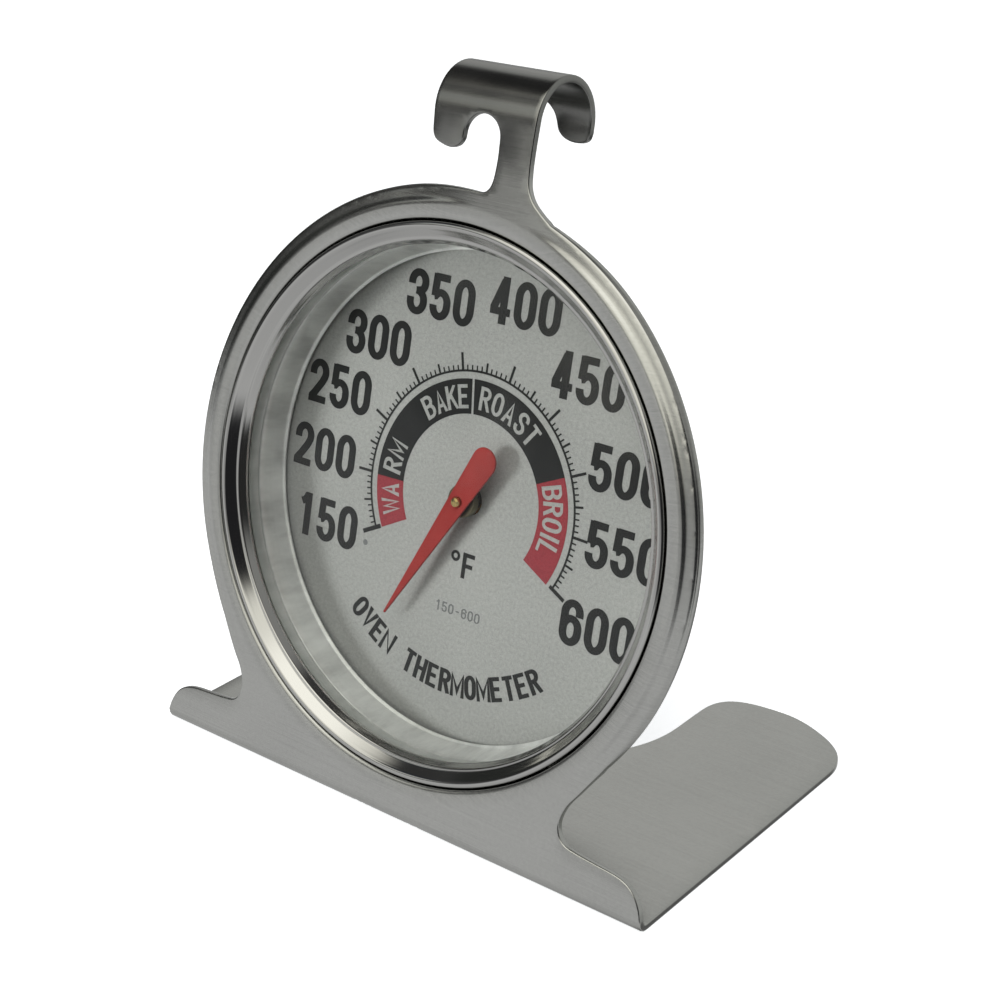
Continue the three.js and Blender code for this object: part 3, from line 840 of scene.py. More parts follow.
def stand_outline():
    """Counter-clockwise from the right end of the fold, round the foot first."""
    def on_foot(distance):
        return FOLD_END - (distance - FOLD_SETBACK)

    lobe = spline([(x, on_foot(s), *corner) for x, s, *corner in FOOT_LOBE], closed=False)
    scoop = [(x, on_foot(s)) for x, s in
             centred_arc(SCOOP_R, 0, -math.pi, 44, z=SCOOP_CENTRE)]
    left_ear = [(-x, z) for x, z in EAR]
    ring_left = centred_arc(RING_R, polar_angle(left_ear[-1]) + 2 * math.pi,
                            polar_angle(NECK_LEFT[0]), 190)
    notch = [(NOTCH["x"] + x, z) for x, z in
             centred_arc(NOTCH["radius"], 0, math.pi, 26, z=NOTCH["z"])]
    ring_right = centred_arc(RING_R, polar_angle(NECK_RIGHT[-1]), polar_angle(EAR[-1]), 150)
    points = [
        *lobe, *scoop, *[(-x, z) for x, z in reversed(lobe)],
        *spline(left_ear, closed=False), *ring_left[1:-1],
        *spline(NECK_LEFT, 3, closed=False), *notch[1:],
        *spline(FINGER, 3, closed=False)[1:], *HOOK_EDGE,
        *spline(HOOK_END, 3, closed=False), (HOOK_RIGHT, 52.0),
        *spline(NECK_RIGHT, closed=False), *ring_right[1:-1],
        *spline(EAR[::-1], closed=False),
    ]
    loop = []
    for point in points:
        if not loop or math.dist(point, loop[-1]) > 0.06:
            loop.append(point)
    if math.dist(loop[0], loop[-1]) < 0.06:
        loop.pop()
    return resample(loop, 0.62)


def opening_outline():
    """Round opening with a square-ended slot outward at each tab."""
    half, end = SLOT_HALF_W, SLOT_R
    mouth = math.sqrt(OPENING_R * OPENING_R - half * half)
    # slot corners: distance outward, distance across
    slot = [(mouth, -half), (end - 0.25, -half), (end - 0.07, -half + 0.07),
            (end, -half + 0.25), (end, 0), (end, half - 0.25), (end - 0.07, half - 0.07),
            (end - 0.25, half), (mouth, half)]
    span = math.asin((half + 0.25) / OPENING_R)
    loop = []
    current = None
    for x, z in circle(OPENING_R, 240):
        angle = math.atan2(z, x) % (2 * math.pi)
        tab = next((t for t in TAB_ANGLES if abs(angle - math.radians(t)) < span), None)
        if tab is None:
            loop.append((x, z))
        elif tab != current:
            cos, sin = math.cos(math.radians(tab)), math.sin(math.radians(tab))
            loop += [(cos * out - sin * side, sin * out + cos * side) for out, side in slot]
        current = tab
    return resample(loop, 0.8)


def grid(rows, columns):
    return [(float(x), float(z)) for z in rows for x in columns]


def build_stand():
    outer, opening = stand_outline(), opening_outline()
    points = []
    for radius in (29.4, 29.95, 30.08, 30.18, 30.28, 30.37, 30.46, 30.55, 30.66, 30.77, 30.9,
                   31.05, 31.2, 31.4, 31.65, 31.9, 32.08, 32.25, 32.42, 32.6, 32.8, 33.0,
                   33.2):
        points += circle(radius, 320)
    for radius in (33.35, 33.6, 34.0, 34.5, 35.0, 35.8, 37.0):
        points += circle(radius, 200)
    margins = (1.5, 0.9, 0.5, 0.3)
    fold_rows = [FOLD_START + margin for margin in margins]
    fold_rows += [FOLD_START + 0.15 - (FOLD_START - FOLD_END + 0.3) * k / 14
                  for k in range(15)]
    fold_rows += [FOLD_END - margin for margin in reversed(margins)]
    points += grid(fold_rows, np.arange(-33.25, 33.3, 0.95))
    points += grid(np.arange(HOOK_Z - 0.2, 57.4, 0.42), np.arange(-4.8, 7.6, 1.0))
    foot_rows = [*np.arange(FOLD_END - 3, FOLD_END - 44, -5.0), -33.2, -31.9]
    points += grid(foot_rows, np.arange(-32, 32.1, 4.0))

    points = np.array(points)
    points = points[inside(points, outer) & ~inside(points, opening)]
    # keep clear of the cut edges
    border = np.array(outer + opening)
    points = [p for p in points if np.hypot(*(border - p).T).min() > 0.33]
    sheet("stand_sheet", [outer, opening], stand_form, "brushed_stainless", THICK, edge=0.16,
          points=points, replaces="stand_frame", sharp=50)


build_stand()

# ------------------------------------------------------------------ bezel with its lock tabs
BEZEL = [
    (29.93, 1.5, 1), (29.93, 0.9), (29.93, 0.42), (29.89, 0.22), (29.8, 0.10), (29.66, 0.03),
    (29.5, 0.0), (29.33, 0.03), (29.18, 0.12), (28.93, 0.35), (28.62, 0.63), (28.42, 0.81),
    (28.33, 0.88), (28.25, 0.91), (28.12, 0.925), (28.01, 0.96), (27.92, 1.06), (27.82, 1.24),
    (27.68, 1.5), (27.54, 1.76), (27.52, 1.92), (27.58, 2.04), (27.7, 2.08), (27.84, 2.0),
    (27.94, 1.78), (28.08, 1.54), (28.25, 1.42), (28.5, 1.27), (28.75, 1.07), (29.05, 0.79),
    (29.3, 0.56), (29.45, 0.44), (29.56, 0.42), (29.63, 0.52), (29.65, 0.8), (29.65, 1.5, 1),
]
# bent tab: radius, depth, corner radius
TAB = [(29.2, 0.5, 0), (29.58, 0.5, 0), (29.58, 4.0, 0.1), (30.5, 4.0, 0.12),
       (30.5, 4.4, 0.12), (29.2, 4.4, 0.4)]


def build_bezel():
    bezel = lathe("bezel", spline(BEZEL, 3), "polished_stainless", 288,
                  replaces="bezel_ring", sharp=40)
    section = round_corners(TAB)
    stations = (-TAB_HALF_W, -TAB_HALF_W + 0.08, TAB_HALF_W - 0.08, TAB_HALF_W)
    verts = [(x, depth, radius) for x in stations for radius, depth in section]
    for angle in TAB_ANGLES:
        combine(bezel, turned(verts, math.radians(angle)),
                tube_faces(len(stations), len(section)), "UNION")
    mark_sharp(bezel, 40)


build_bezel()

# ------------------------------------------------------------------ case
# radius, depth, corner radius
CASE = [
    (30.6, 3.1, 0.2), (30.6, 3.6, 0.2), (28.7, 3.6, 0.45), (27.88, 8.9, 0.5), (27.5, 9.3, 0.5),
    (23.8, 9.42, 0.5), (23.8, 14.9, 0.7), (22.9, 15.8, 0.7), (2.0, 15.8, 0.08),
    (2.0, 15.3, 0.08), (22.7, 15.3, 0.5), (23.3, 14.7, 0.5), (23.3, 8.82, 0.2),
    (27.43, 8.8, 0.15), (28.3, 3.1, 0.25),
]
# a hole on each side: x, radius, front depth, back depth, segments
CASE_HOLES = [(RIVET_X, 1.15, 14.9, 16.3, 48), (STUD_X, 0.95, 8.0, 10.3, 32)]


def build_case():
    case = lathe("case_shell", round_corners(CASE, 5), "case_stainless", 240,
                 replaces="case_cup", sharp=35)
    for angle in TAB_ANGLES:
        verts, faces = box_data(-SLOT_HALF_W, SLOT_HALF_W, 2.8, 3.9, 28.95, SLOT_R)
        combine(case, turned(verts, math.radians(angle)), faces)
    for x, radius, front, back, segments in CASE_HOLES:
        profile = [(0, front), (radius, front), (radius, back), (0, back)]
        verts, faces = lathe_data(profile, segments, closed=False)
        for side, _ in SIDES:
            combine(case, verts + np.array([side * x, 0, 0]), faces)
    mark_sharp(case, 35)


build_case()

# ------------------------------------------------------------------ glass, spacer, dial
LENS = [(0, 2.45), (27.82, 2.45), (27.94, 2.5), (28.0, 2.62), (28.0, 3.88), (27.94, 4.0),
        (27.82, 4.05), (0, 4.05)]
LENS_RIM_R = 27.83  # faces centred beyond this take the ground finish
SPACER = [
    (27.72, 4.2, 1), (27.43, 5.9), (27.22, 7.0), (27.14, 7.22), (26.98, 7.3), (26.86, 7.36),
    (26.85, 7.48), (26.93, 7.6), (27.4, 7.6, 1), (27.56, 7.45), (27.86, 5.8), (28.05, 4.3, 1),
    (27.98, 4.12), (27.80, 4.1),
]
STUD = [(0, 8.7), (0.55, 8.7), (0.6, 8.76), (0.6, 10.4), (0.48, 10.6), (0, 10.6)]


def build_lens():
    lens = lathe("lens", LENS, "lens_glass", 256, closed=False, replaces="glass_lens", sharp=30)
    lens.data.materials.append(FINISHES["glass_edge"])
    for face in lens.data.polygons:
        offset = face.center - ORIGIN
        if (offset - AXIS * offset.dot(AXIS)).length > LENS_RIM_R * MM:
            face.material_index = 1


def dial_form(flat):
    flat = np.asarray(flat, float)
    points = np.column_stack([flat[:, 0], np.full(len(flat), DIAL_Y), flat[:, 1]])
    return points, np.tile(np.array([0, -1.0, 0]), (len(flat), 1))


def build_dial():
    points = []
    for radius in (4, 8, 12, 16, 20, 24):
        points += circle(radius, radius * 6)
    sheet("dial", [circle(27.2, 256), circle(1.7, 64)], dial_form, "dial_satin", 0.5, edge=0.12,
          points=points, replaces="dial_plate", sharp=40)
    for side, label in SIDES:
        lathe("dial_stud_" + label, STUD, "plain_steel", 40, closed=False, x=side * STUD_X,
              replaces="dial_pin_" + label, sharp=35)


build_lens()
lathe("spacer", spline(SPACER, 3), "spacer_stainless", 256, replaces="spacer_ring", sharp=30)
build_dial()

# ------------------------------------------------------------------ movement bridge
BAR_END = 11.6
BAR_Y = 9.2
BEND_R = 1.0  # bar to leg
LEG = 3.8
FOOT_BEND_R = 0.4  # leg to foot
BEND_END = BAR_END + BEND_R * math.pi / 2
LEG_END = BEND_END + LEG
FOOT_START = LEG_END + FOOT_BEND_R * math.pi / 2
BRIDGE_END = FOOT_START + 4.5
BRIDGE_RIVET = FOOT_START + 1.5
BRIDGE_HALF_W = 3.5


def bridge_form(flat):
    """Strip bent to a front bar, a leg at each side and feet turned outward."""
    flat = np.asarray(flat, float)
    run = np.abs(flat[:, 0])
    side = np.where(flat[:, 0] < 0, -1.0, 1.0)
    bend = (run - BAR_END) / BEND_R
    crook = (run - LEG_END) / FOOT_BEND_R
    leg_x, leg_y = BAR_END + BEND_R, BAR_Y + BEND_R
    foot_x, foot_y = leg_x + FOOT_BEND_R, leg_y + LEG
    parts = [run <= BAR_END, run <= BEND_END, run <= LEG_END, run <= FOOT_START]
    x = np.select(parts, [run, BAR_END + BEND_R * np.sin(bend), leg_x,
                          foot_x - FOOT_BEND_R * np.cos(crook)], foot_x + (run - FOOT_START))
    y = np.select(parts, [BAR_Y, leg_y - BEND_R * np.cos(bend), leg_y + (run - BEND_END),
                          foot_y + FOOT_BEND_R * np.sin(crook)], foot_y + FOOT_BEND_R)
    normal_x = np.select(parts, [0.0, np.sin(bend), 1.0, np.cos(crook)], 0.0)
    normal_y = np.select(parts, [-1.0, -np.cos(bend), 0.0, -np.sin(crook)], -1.0)
    return (np.column_stack([x * side, y, flat[:, 1]]),
            np.column_stack([normal_x * side, normal_y, np.zeros(len(flat))]))


def build_bridge():
    outline = resample(rounded_box(-BRIDGE_END, BRIDGE_END, -BRIDGE_HALF_W, BRIDGE_HALF_W,
                                   radius=1.2, steps=6), 0.5)
    holes = [circle(2.2, 56), circle(1.1, 40, POST_X), circle(1.15, 40, BRIDGE_RIVET),
             circle(1.15, 40, -BRIDGE_RIVET)]
    bends = [*np.linspace(11.5, 13.3, 12),
             *np.linspace(FOOT_START - 0.75, FOOT_START + 0.1, 8)]
    points = [(side * float(run), float(z)) for side, _ in SIDES for run in bends
              for z in np.arange(-3, 3.1, 0.6)]
    sheet("bridge", [outline, *holes], bridge_form, "plain_steel", 0.6, edge=0.1,
          points=points, replaces="movement_bridge", sharp=45)


build_bridge()

# ------------------------------------------------------------------ rivets, bushes, post
RIVET = [
    (0, 13.5), (0.5, 13.51), (0.95, 13.57), (1.35, 13.7), (1.58, 13.92), (1.6, 14.1),
    (0.8, 14.1), (0.8, 16.1), (1.6, 16.1), (1.7, 16.2), (1.66, 16.4), (1.4, 16.6),
    (0.9, 16.72), (0.4, 16.75), (0, 16.75),
]
# radius, depth, corner radius
FRONT_BUSH = [(1.05, 8.8, 0.1), (1.85, 8.8, 0.15), (1.85, 10.1, 0.05), (2.8, 10.1, 0.12),
              (2.8, 10.5, 0.12), (1.05, 10.5, 0.1)]
REAR_BUSH = [
    (0, 15.4), (0.85, 15.4), (0.85, 14.38), (0.93, 14.3), (2.6, 14.3), (2.7, 14.4),
    (2.7, 14.92), (2.62, 15.0), (1.65, 15.0), (1.65, 16.1), (1.55, 16.25), (1.4, 16.3),
    (0, 16.3),
]
POST = [(0, 8.85), (0.68, 8.85), (0.8, 8.97), (0.8, 13.98), (0.68, 14.1), (0, 14.1)]

for side, label in SIDES:
    lathe("rivet_" + label, RIVET, "plain_steel", 48, closed=False, x=side * RIVET_X,
          replaces="bridge_rivet_" + label, sharp=40)
lathe("front_bush", round_corners(FRONT_BUSH), "movement_brass", 64,
      replaces="front_bushing", sharp=35)
lathe("rear_bush", REAR_BUSH, "movement_brass", 64, closed=False,
      replaces="rear_bearing", sharp=35)
lathe("anchor_post", POST, "plain_steel", 48, closed=False, x=POST_X,
      replaces="coil_anchor_post", sharp=35)

# ------------------------------------------------------------------ coil
COIL = dict(turns=5, radius=2.45, pitch=1.25, steps=480)
COIL_HALF = 0.2  # half the strip thickness
COIL_FRONT, COIL_BACK = 11.3, 13.9
COIL_CHAMFER = 0.07


def build_coil():
    """Flat spiral strip standing on edge round the arbor."""
    turns, steps = COIL["turns"], COIL["steps"]
    centres = []
    for i in range(steps + 1):
        angle = i / steps * turns * 2 * math.pi + math.pi
        radius = COIL["radius"] + COIL["pitch"] * (i / steps) * turns
        centres.append((radius * math.cos(angle), radius * math.sin(angle)))
    centres = np.array(centres)
    along = np.gradient(centres, axis=0)
    along /= np.linalg.norm(along, axis=1)[:, None]
    normals = np.stack([-along[:, 1], along[:, 0]], 1)
    lengths = np.linalg.norm(np.diff(centres, axis=0), axis=1)
    runs = np.concatenate([[0.0], np.cumsum(lengths)])
    half, front, back, chamfer = COIL_HALF, COIL_FRONT, COIL_BACK, COIL_CHAMFER
    # across the strip, depth
    section = [(-half + chamfer, front), (half - chamfer, front), (half, front + chamfer),
               (half, back - chamfer), (half - chamfer, back), (-half + chamfer, back),
               (-half, back - chamfer), (-half, front + chamfer)]
    verts, grain = [], []
    for centre, normal, run in zip(centres, normals, runs):
        for across, depth in section:
            x, z = centre + normal * across
            verts.append((x, depth, z))
            grain.append((run * 0.1, across, depth))
    make("coil_strip", verts, tube_faces(steps + 1, len(section)), "bimetal_strip",
         replaces="bimetal_coil", grain=grain, sharp=40)


build_coil()

# ------------------------------------------------------------------ turning set
TIP_Z, TIP_R = 17.0, 0.14
TAIL_Z, TAIL_R = -5.8, 1.62  # centre and radius of the round tail
POINTER_Y = 5.80
STAFF = [
    (0, 5.25), (0.3, 5.27), (0.48, 5.35), (0.56, 5.5), (0.56, 6.16), (0.62, 6.2), (0.7, 6.28),
    (0.7, 13.87), (0.62, 13.95), (0.45, 14.05), (0.45, 14.85), (0.3, 15.0), (0, 15.0),
]


def blade_half_width(z):
    return TAIL_R + (TIP_R - TAIL_R) * np.clip((z - TAIL_Z) / (TIP_Z - TAIL_Z), 0, 1)


def pointer_form(flat):
    """Blade slightly crowned across its width."""
    flat = np.asarray(flat, float)
    half = blade_half_width(flat[:, 1])
    across = np.clip(flat[:, 0] / half, -1, 1)
    crown = 0.10 * half / TAIL_R * (1 - across * across)
    normals = np.tile(np.array([0, -1.0, 0]), (len(flat), 1))
    normals[:, 0] = 0.2 * across / TAIL_R
    normals /= np.linalg.norm(normals, axis=1)[:, None]
    return np.column_stack([flat[:, 0], POINTER_Y - crown, flat[:, 1]]), normals


def build_pointer():
    taper = math.asin((TAIL_R - TIP_R) / (TIP_Z - TIP_R - TAIL_Z))
    tail = centred_arc(TAIL_R, taper, -math.pi - taper, 40, z=TAIL_Z)
    tip = centred_arc(TIP_R, math.pi - taper, 0.0 + taper - 0.0, 8, z=TIP_Z - TIP_R)
    tip = [(TIP_R * math.cos(a), TIP_Z - TIP_R + TIP_R * math.sin(a)) for a in
           (math.pi - taper - (math.pi - 2 * taper) * i / 8 for i in range(9))]
    tail = [(TAIL_R * math.cos(a), TAIL_Z + TAIL_R * math.sin(a)) for a in
            (taper - (math.pi + 2 * taper) * i / 40 for i in range(41))]
    outline = resample(tail + tip, 0.5)
    points = []
    for z in np.arange(-7, 16.5, 0.55):
        half = blade_half_width(z)
        for share in (-0.66, -0.33, 0, 0.33, 0.66):
            x = share * half
            if abs(x) < half - 0.2 and math.hypot(x, z) > 0.85:
                points.append((x, z))
    points = np.array(points)
    points = points[inside(points, outline)]
    sheet("pointer_blade", [outline, circle(0.60, 40)], pointer_form, "pointer_red", 0.32,
          edge=0.09, points=points, turn=REST, body=TURNING, replaces="pointer", sharp=40)


build_pointer()
# the hub wears the darkened brass, painted shade under the pointer
lathe("hub", rounded_box(1.0, 1.8, 6.4, 7.4, 0.14), "hub_brass_painted_shade", 64, body=TURNING,
      slot="movement_brass", replaces="pointer_hub", sharp=35)
lathe("staff", STAFF, "staff_brass", 64, closed=False, body=TURNING,
      replaces="pointer_staff", sharp=35)
lathe("washer", rounded_box(1.0, 2.2, 10.75, 11.0, 0.06), "movement_brass", 64, body=TURNING,
      replaces="staff_washer", sharp=35)
lathe("arbor", rounded_box(1.0, 1.9, 11.3, 13.7, 0.12), "movement_brass", 64, body=TURNING,
      replaces="coil_arbor", sharp=35)


# ------------------------------------------------------------------ lettering
def bowl(y, height, start, end, steps):
    """Arc across the full width of the unit box, angles in degrees."""
    angles = [math.radians(start + (end - start) * i / steps) for i in range(steps + 1)]
    return [(0.5 + 0.5 * math.cos(a), y + height * math.sin(a)) for a in angles]


def oval(height):
    return bowl(1 - height, height, 0, 180, 16) + bowl(height, height, 180, 360, 16)


# Centre lines of the strokes in a unit box. Ends that overshoot are clipped to the cap height.
STEM = [(0.0, -0.1), (0.0, 1.1)]
CLOSED_LETTERS = "0O"
LETTERS = {
    "0": [oval(0.30)],
    "1": [[(0.62, -0.1), (0.62, 1.1)], [(0.08, 0.82), (0.34, 0.87), (0.56, 1.04)]],
    "2": [[(0.0, 0.66), *bowl(0.74, 0.26, 180, -25, 16), (0.78, 0.48), (0.32, 0.2),
           (0.08, 0.04)],
          [(-0.2, 0.0), (1.18, 0.0)], [(0.06, -0.07), (0.06, 0.06), (0.3, 0.19)]],
    "3": [[(0.0, 0.68), *bowl(0.75, 0.25, 180, -48, 18), (0.60, 0.54), (0.38, 0.53)],
          [(0.38, 0.53), (0.62, 0.52), *bowl(0.26, 0.26, 48, -180, 18), (0.0, 0.34)]],
    "4": [[(0.66, 1.0), (0.03, 0.27)], [(-0.19, 0.22), (1.22, 0.22)],
          [(0.72, -0.1), (0.72, 1.1)]],
    "5": [[(0.02, 1.0), (1.06, 1.0)], [(0.10, 1.08), (0.05, 0.50)],
          [(0.02, 0.50), *bowl(0.34, 0.27, 142, 0, 14), *bowl(0.26, 0.26, 0, -180, 14),
           (0.0, 0.27)]],
    "6": [[(1.0, 0.68), *bowl(0.74, 0.26, 0, 180, 16), *bowl(0.26, 0.26, 180, 360, 16),
           *bowl(0.35, 0.25, 0, 165, 14)]],
    "A": [[(0.0, -0.1), (0.5, 1.08), (1.0, -0.1)], [(0.2, 0.27), (0.8, 0.27)]],
    "B": [STEM, [(0.0, 1.0), (0.45, 1.0), *bowl(0.77, 0.23, 90, -90, 12), (0.0, 0.54)],
          [(0.0, 0.54), (0.45, 0.54), *bowl(0.27, 0.27, 90, -90, 12), (0.0, 0.0)]],
    "E": [STEM, [(0.0, 1.0), (1.1, 1.0)], [(0.0, 0.52), (0.95, 0.52)], [(0.0, 0.0), (1.1, 0.0)]],
    "F": [STEM, [(0.0, 1.0), (1.1, 1.0)], [(0.0, 0.50), (0.95, 0.50)]],
    "H": [STEM, [(1.0, -0.1), (1.0, 1.1)], [(0.0, 0.52), (1.0, 0.52)]],
    "I": [[(0.5, -0.1), (0.5, 1.1)]],
    "K": [STEM, [(1.04, 1.1), (0.0, 0.40)], [(0.38, 0.62), (1.08, -0.1)]],
    "L": [STEM, [(0.0, 0.0), (1.1, 0.0)]],
    "M": [[(0.0, -0.1), (0.0, 1.08), (0.5, 0.18), (1.0, 1.08), (1.0, -0.1)]],
    "N": [[(0.0, -0.1), (0.0, 1.04), (1.0, -0.04), (1.0, 1.1)]],
    "O": [oval(0.34)],
    "R": [STEM, [(0.0, 1.0), (0.45, 1.0), *bowl(0.76, 0.24, 90, -90, 12), (0.0, 0.52)],
          [(0.5, 0.52), (1.04, -0.1)]],
    "S": [[(1.0, 0.70), *bowl(0.76, 0.24, 0, 200, 16), (0.25, 0.55), (0.75, 0.45),
           *bowl(0.24, 0.24, 20, -180, 16), (0.0, 0.30)]],
    "T": [[(0.5, -0.1), (0.5, 1.0)], [(-0.15, 1.0), (1.15, 1.0)]],
    "V": [[(-0.04, 1.1), (0.5, -0.04), (1.04, 1.1)]],
    "W": [[(-0.04, 1.1), (0.24, -0.04), (0.5, 0.92), (0.76, -0.04), (1.04, 1.1)]],
    "-": [[(0.1, 0.45), (0.9, 0.45)]],
}


def stroke(points, width, closed):
    """Loops of a line with square ends and mitred joins."""
    spots = np.array(points, float)
    last = len(spots) - 1
    left, right = [], []
    for i, spot in enumerate(spots):
        before = after = None
        if closed or i > 0:
            before = (spot - spots[i - 1]) / np.linalg.norm(spot - spots[i - 1])
        if closed or i < last:
            ahead = spots[(i + 1) % len(spots)] - spot
            after = ahead / np.linalg.norm(ahead)
        before = after if before is None else before
        after = before if after is None else after
        normal = np.array([-before[1], before[0]])
        middle = normal + np.array([-after[1], after[0]])
        middle = middle / np.linalg.norm(middle)
        reach = min(1 / max(float(middle @ normal), 0.25), 2.2)
        left.append(tuple(spot + middle * reach * width / 2))
        right.append(tuple(spot - middle * reach * width / 2))
    return [left, right] if closed else [left + right[::-1]]


def glyph(char, width, height, pen_x, pen_y):
    """Shapes of a character centred on the origin. A shape is a list of loops."""
    squash = pen_x / pen_y  # the strokes are drawn where the pen is round
    side, top = width / 2 + 0.02 * width, height / 2
    shapes = []
    for line in LETTERS[char]:
        points = [(-width / 2 + pen_x / 2 + x * (width - pen_x),
                   (-height / 2 + pen_y / 2 + y * (height - pen_y)) * squash) for x, y in line]
        shapes.append([[(max(-side, min(side, x)), max(-top, min(top, y / squash)))
                        for x, y in loop]
                       for loop in stroke(points, pen_x, char in CLOSED_LETTERS)])
    return shapes


def place(shapes, x, z, angle=0.0):
    """Move shapes to (x, z), turned clockwise by an angle."""
    cos, sin = math.cos(angle), math.sin(angle)
    return [[[(x + a * cos + b * sin, z - a * sin + b * cos) for a, b in loop]
             for loop in shape] for shape in shapes]


def word(text, x, z, pitch, **pen):
    shapes = []
    for i, char in enumerate(text):
        shapes += place(glyph(char, **pen), x + (i - (len(text) - 1) / 2) * pitch, z)
    return shapes


def ring_text(letters, radius, pen, special, turn=0.0):
    """Letters at angles round the dial. special holds pen changes for some characters."""
    shapes = []
    for char, degrees in letters:
        angle = math.radians(degrees)
        shapes += place(glyph(char, **{**pen, **special.get(char, {})}),
                        radius * math.sin(angle), radius * math.cos(angle), angle + turn)
    return shapes


def band(inner, outer, start, end):
    """Arc band, angles in degrees clockwise from up."""
    count = int(abs(end - start))
    angles = [math.radians(start + (end - start) * i / count) for i in range(count + 1)]
    return [[(outer * math.sin(a), outer * math.cos(a)) for a in angles]
            + [(inner * math.sin(a), inner * math.cos(a)) for a in reversed(angles)]]


def tick(inner, outer, degrees, width):
    angle = math.radians(degrees)
    out = np.array([math.sin(angle), math.cos(angle)])
    side = np.array([out[1], -out[0]]) * width / 2
    return [[tuple(out * inner - side), tuple(out * outer - side),
             tuple(out * outer + side), tuple(out * inner + side)]]


# ------------------------------------------------------------------ ink films
INK_TOP, INK_BOTTOM = DIAL_Y - 0.028, DIAL_Y + 0.02


def encircled(points, loop):
    """Which points a loop winds round. The loop may fold over itself."""
    loop = np.array(loop)
    x, y = points[:, 0], points[:, 1]
    turns = np.zeros(len(points), int)
    for (x0, y0), (x1, y1) in zip(loop, np.roll(loop, -1, 0)):
        left = (x1 - x0) * (y - y0) - (x - x0) * (y1 - y0)
        turns += (y0 <= y) & (y1 > y) & (left > 0)
        turns -= (y0 > y) & (y1 <= y) & (left < 0)
    return turns != 0


def covered(points, shapes):
    result = np.zeros(len(points), bool)
    for shape in shapes:
        if len(shape) == 1:
            result |= encircled(points, shape[0])
        else:
            result |= inside_loops(points, shape)
    return result


def without_repeats(loop):
    out = []
    for point in loop:
        if not out or math.dist(point, out[-1]) > 0.004:
            out.append(point)
    if math.dist(out[0], out[-1]) < 0.004:
        out.pop()
    return out


def ink(name, shapes, finish, cut=(), slot=None):
    """Raised film of ink: the union of the shapes, less the cut shapes."""
    loops = [without_repeats(loop) for shape in [*shapes, *cut] for loop in shape]
    flat, triangles, centres, _ = delaunay(loops, (), 1e-5, False)
    a, b, c = (flat[triangles[:, i]] for i in range(3))
    keep = covered(centres, shapes) & (np.abs(np.cross(b - a, c - a)) > 1e-9)
    keep &= ~covered(centres, cut)
    triangles = triangles[keep]
    used, renumbered = np.unique(triangles, return_inverse=True)
    flat, triangles = flat[used], renumbered.reshape(triangles.shape)
    size = len(flat)
    verts = [np.column_stack([flat[:, 0], np.full(size, depth), flat[:, 1]])
             for depth in (INK_TOP, INK_BOTTOM)]
    faces = [tuple(face) for face in triangles] + [tuple(face[::-1] + size)
                                                   for face in triangles]
    edges = dict.fromkeys(edge for i, j, k in triangles for edge in ((i, j), (j, k), (k, i)))
    faces += [(j, i, i + size, j + size) for i, j in edges if (j, i) not in edges]
    make(name, np.concatenate(verts), faces, finish, slot=slot, sharp=30)


# ------------------------------------------------------------------ print on the dial
NUMERAL_PEN = dict(width=2.86, height=5.05, pen_x=0.98, pen_y=0.82, pitch=3.25)
# centre of each numeral: x, z
NUMERALS = {
    "150": (-19.85, -7.7), "200": (-21.4, 0.3), "250": (-20.25, 7.95), "300": (-15.5, 14.65),
    "350": (-7.5, 20.75), "400": (3.85, 22.05), "450": (13.05, 16.1), "500": (19.45, 7.65),
    "550": (20.45, -0.35), "600": (18.7, -9.3),
}
SCALE_FIRST, SCALE_LAST, SCALE_TOP = 150, 600, 375
TURN_PER_DEGREE = 0.5222
SCALE_R = 14.0

BAND_R = (9.35, 13.15)
BAND_TEXT_R = 11.22
BAND_PEN = dict(width=1.5, height=2.6, pen_x=0.45, pen_y=0.38)
BAND_SPECIAL = dict.fromkeys("WM", dict(width=1.85, pen_x=0.38))
BAND_LETTERS = [
    ("W", -108.0), ("A", -98.6), ("R", -84.5), ("M", -74.0), ("B", -39.5), ("A", -30.6),
    ("K", -22.0), ("E", -13.6), ("R", 1.6), ("O", 10.6), ("A", 19.8), ("S", 29.2), ("T", 38.3),
    ("B", 71.4), ("R", 80.3), ("O", 89.2), ("I", 96.2), ("L", 103.2),
]
# start and end angle, finish
BANDS = {
    "heat_band_black": (-92.0, 65.0, "print_black"),
    "heat_band_warm": (-118.2, -92.0, "print_red"),
    "heat_band_broil": (65.0, 118.4, "print_red"),
}

TITLE = "OVEN THERMOMETER"
TITLE_R = 20.8
TITLE_START, TITLE_END = -39.3, 34.9  # degrees from straight down, positive to the right
TITLE_PEN = dict(width=1.62, height=2.75, pen_x=0.55, pen_y=0.45)
TITLE_SPECIAL = {"M": dict(width=1.95, pen_x=0.44), "N": dict(width=1.75, pen_x=0.46)}


def scale_tick(value):
    angle = (value - SCALE_TOP) * TURN_PER_DEGREE
    if value == SCALE_FIRST:
        return tick(13.3, 16.0, angle, width=0.5)
    if value == SCALE_LAST:
        return tick(13.6, 15.9, angle, width=0.42)
    if value % 50 == 0:
        return tick(SCALE_R, 15.95, angle, width=0.30)
    if value % 25 == 0:
        return tick(SCALE_R, 15.1, angle, width=0.24)
    return tick(SCALE_R, 14.62, angle, width=0.17)


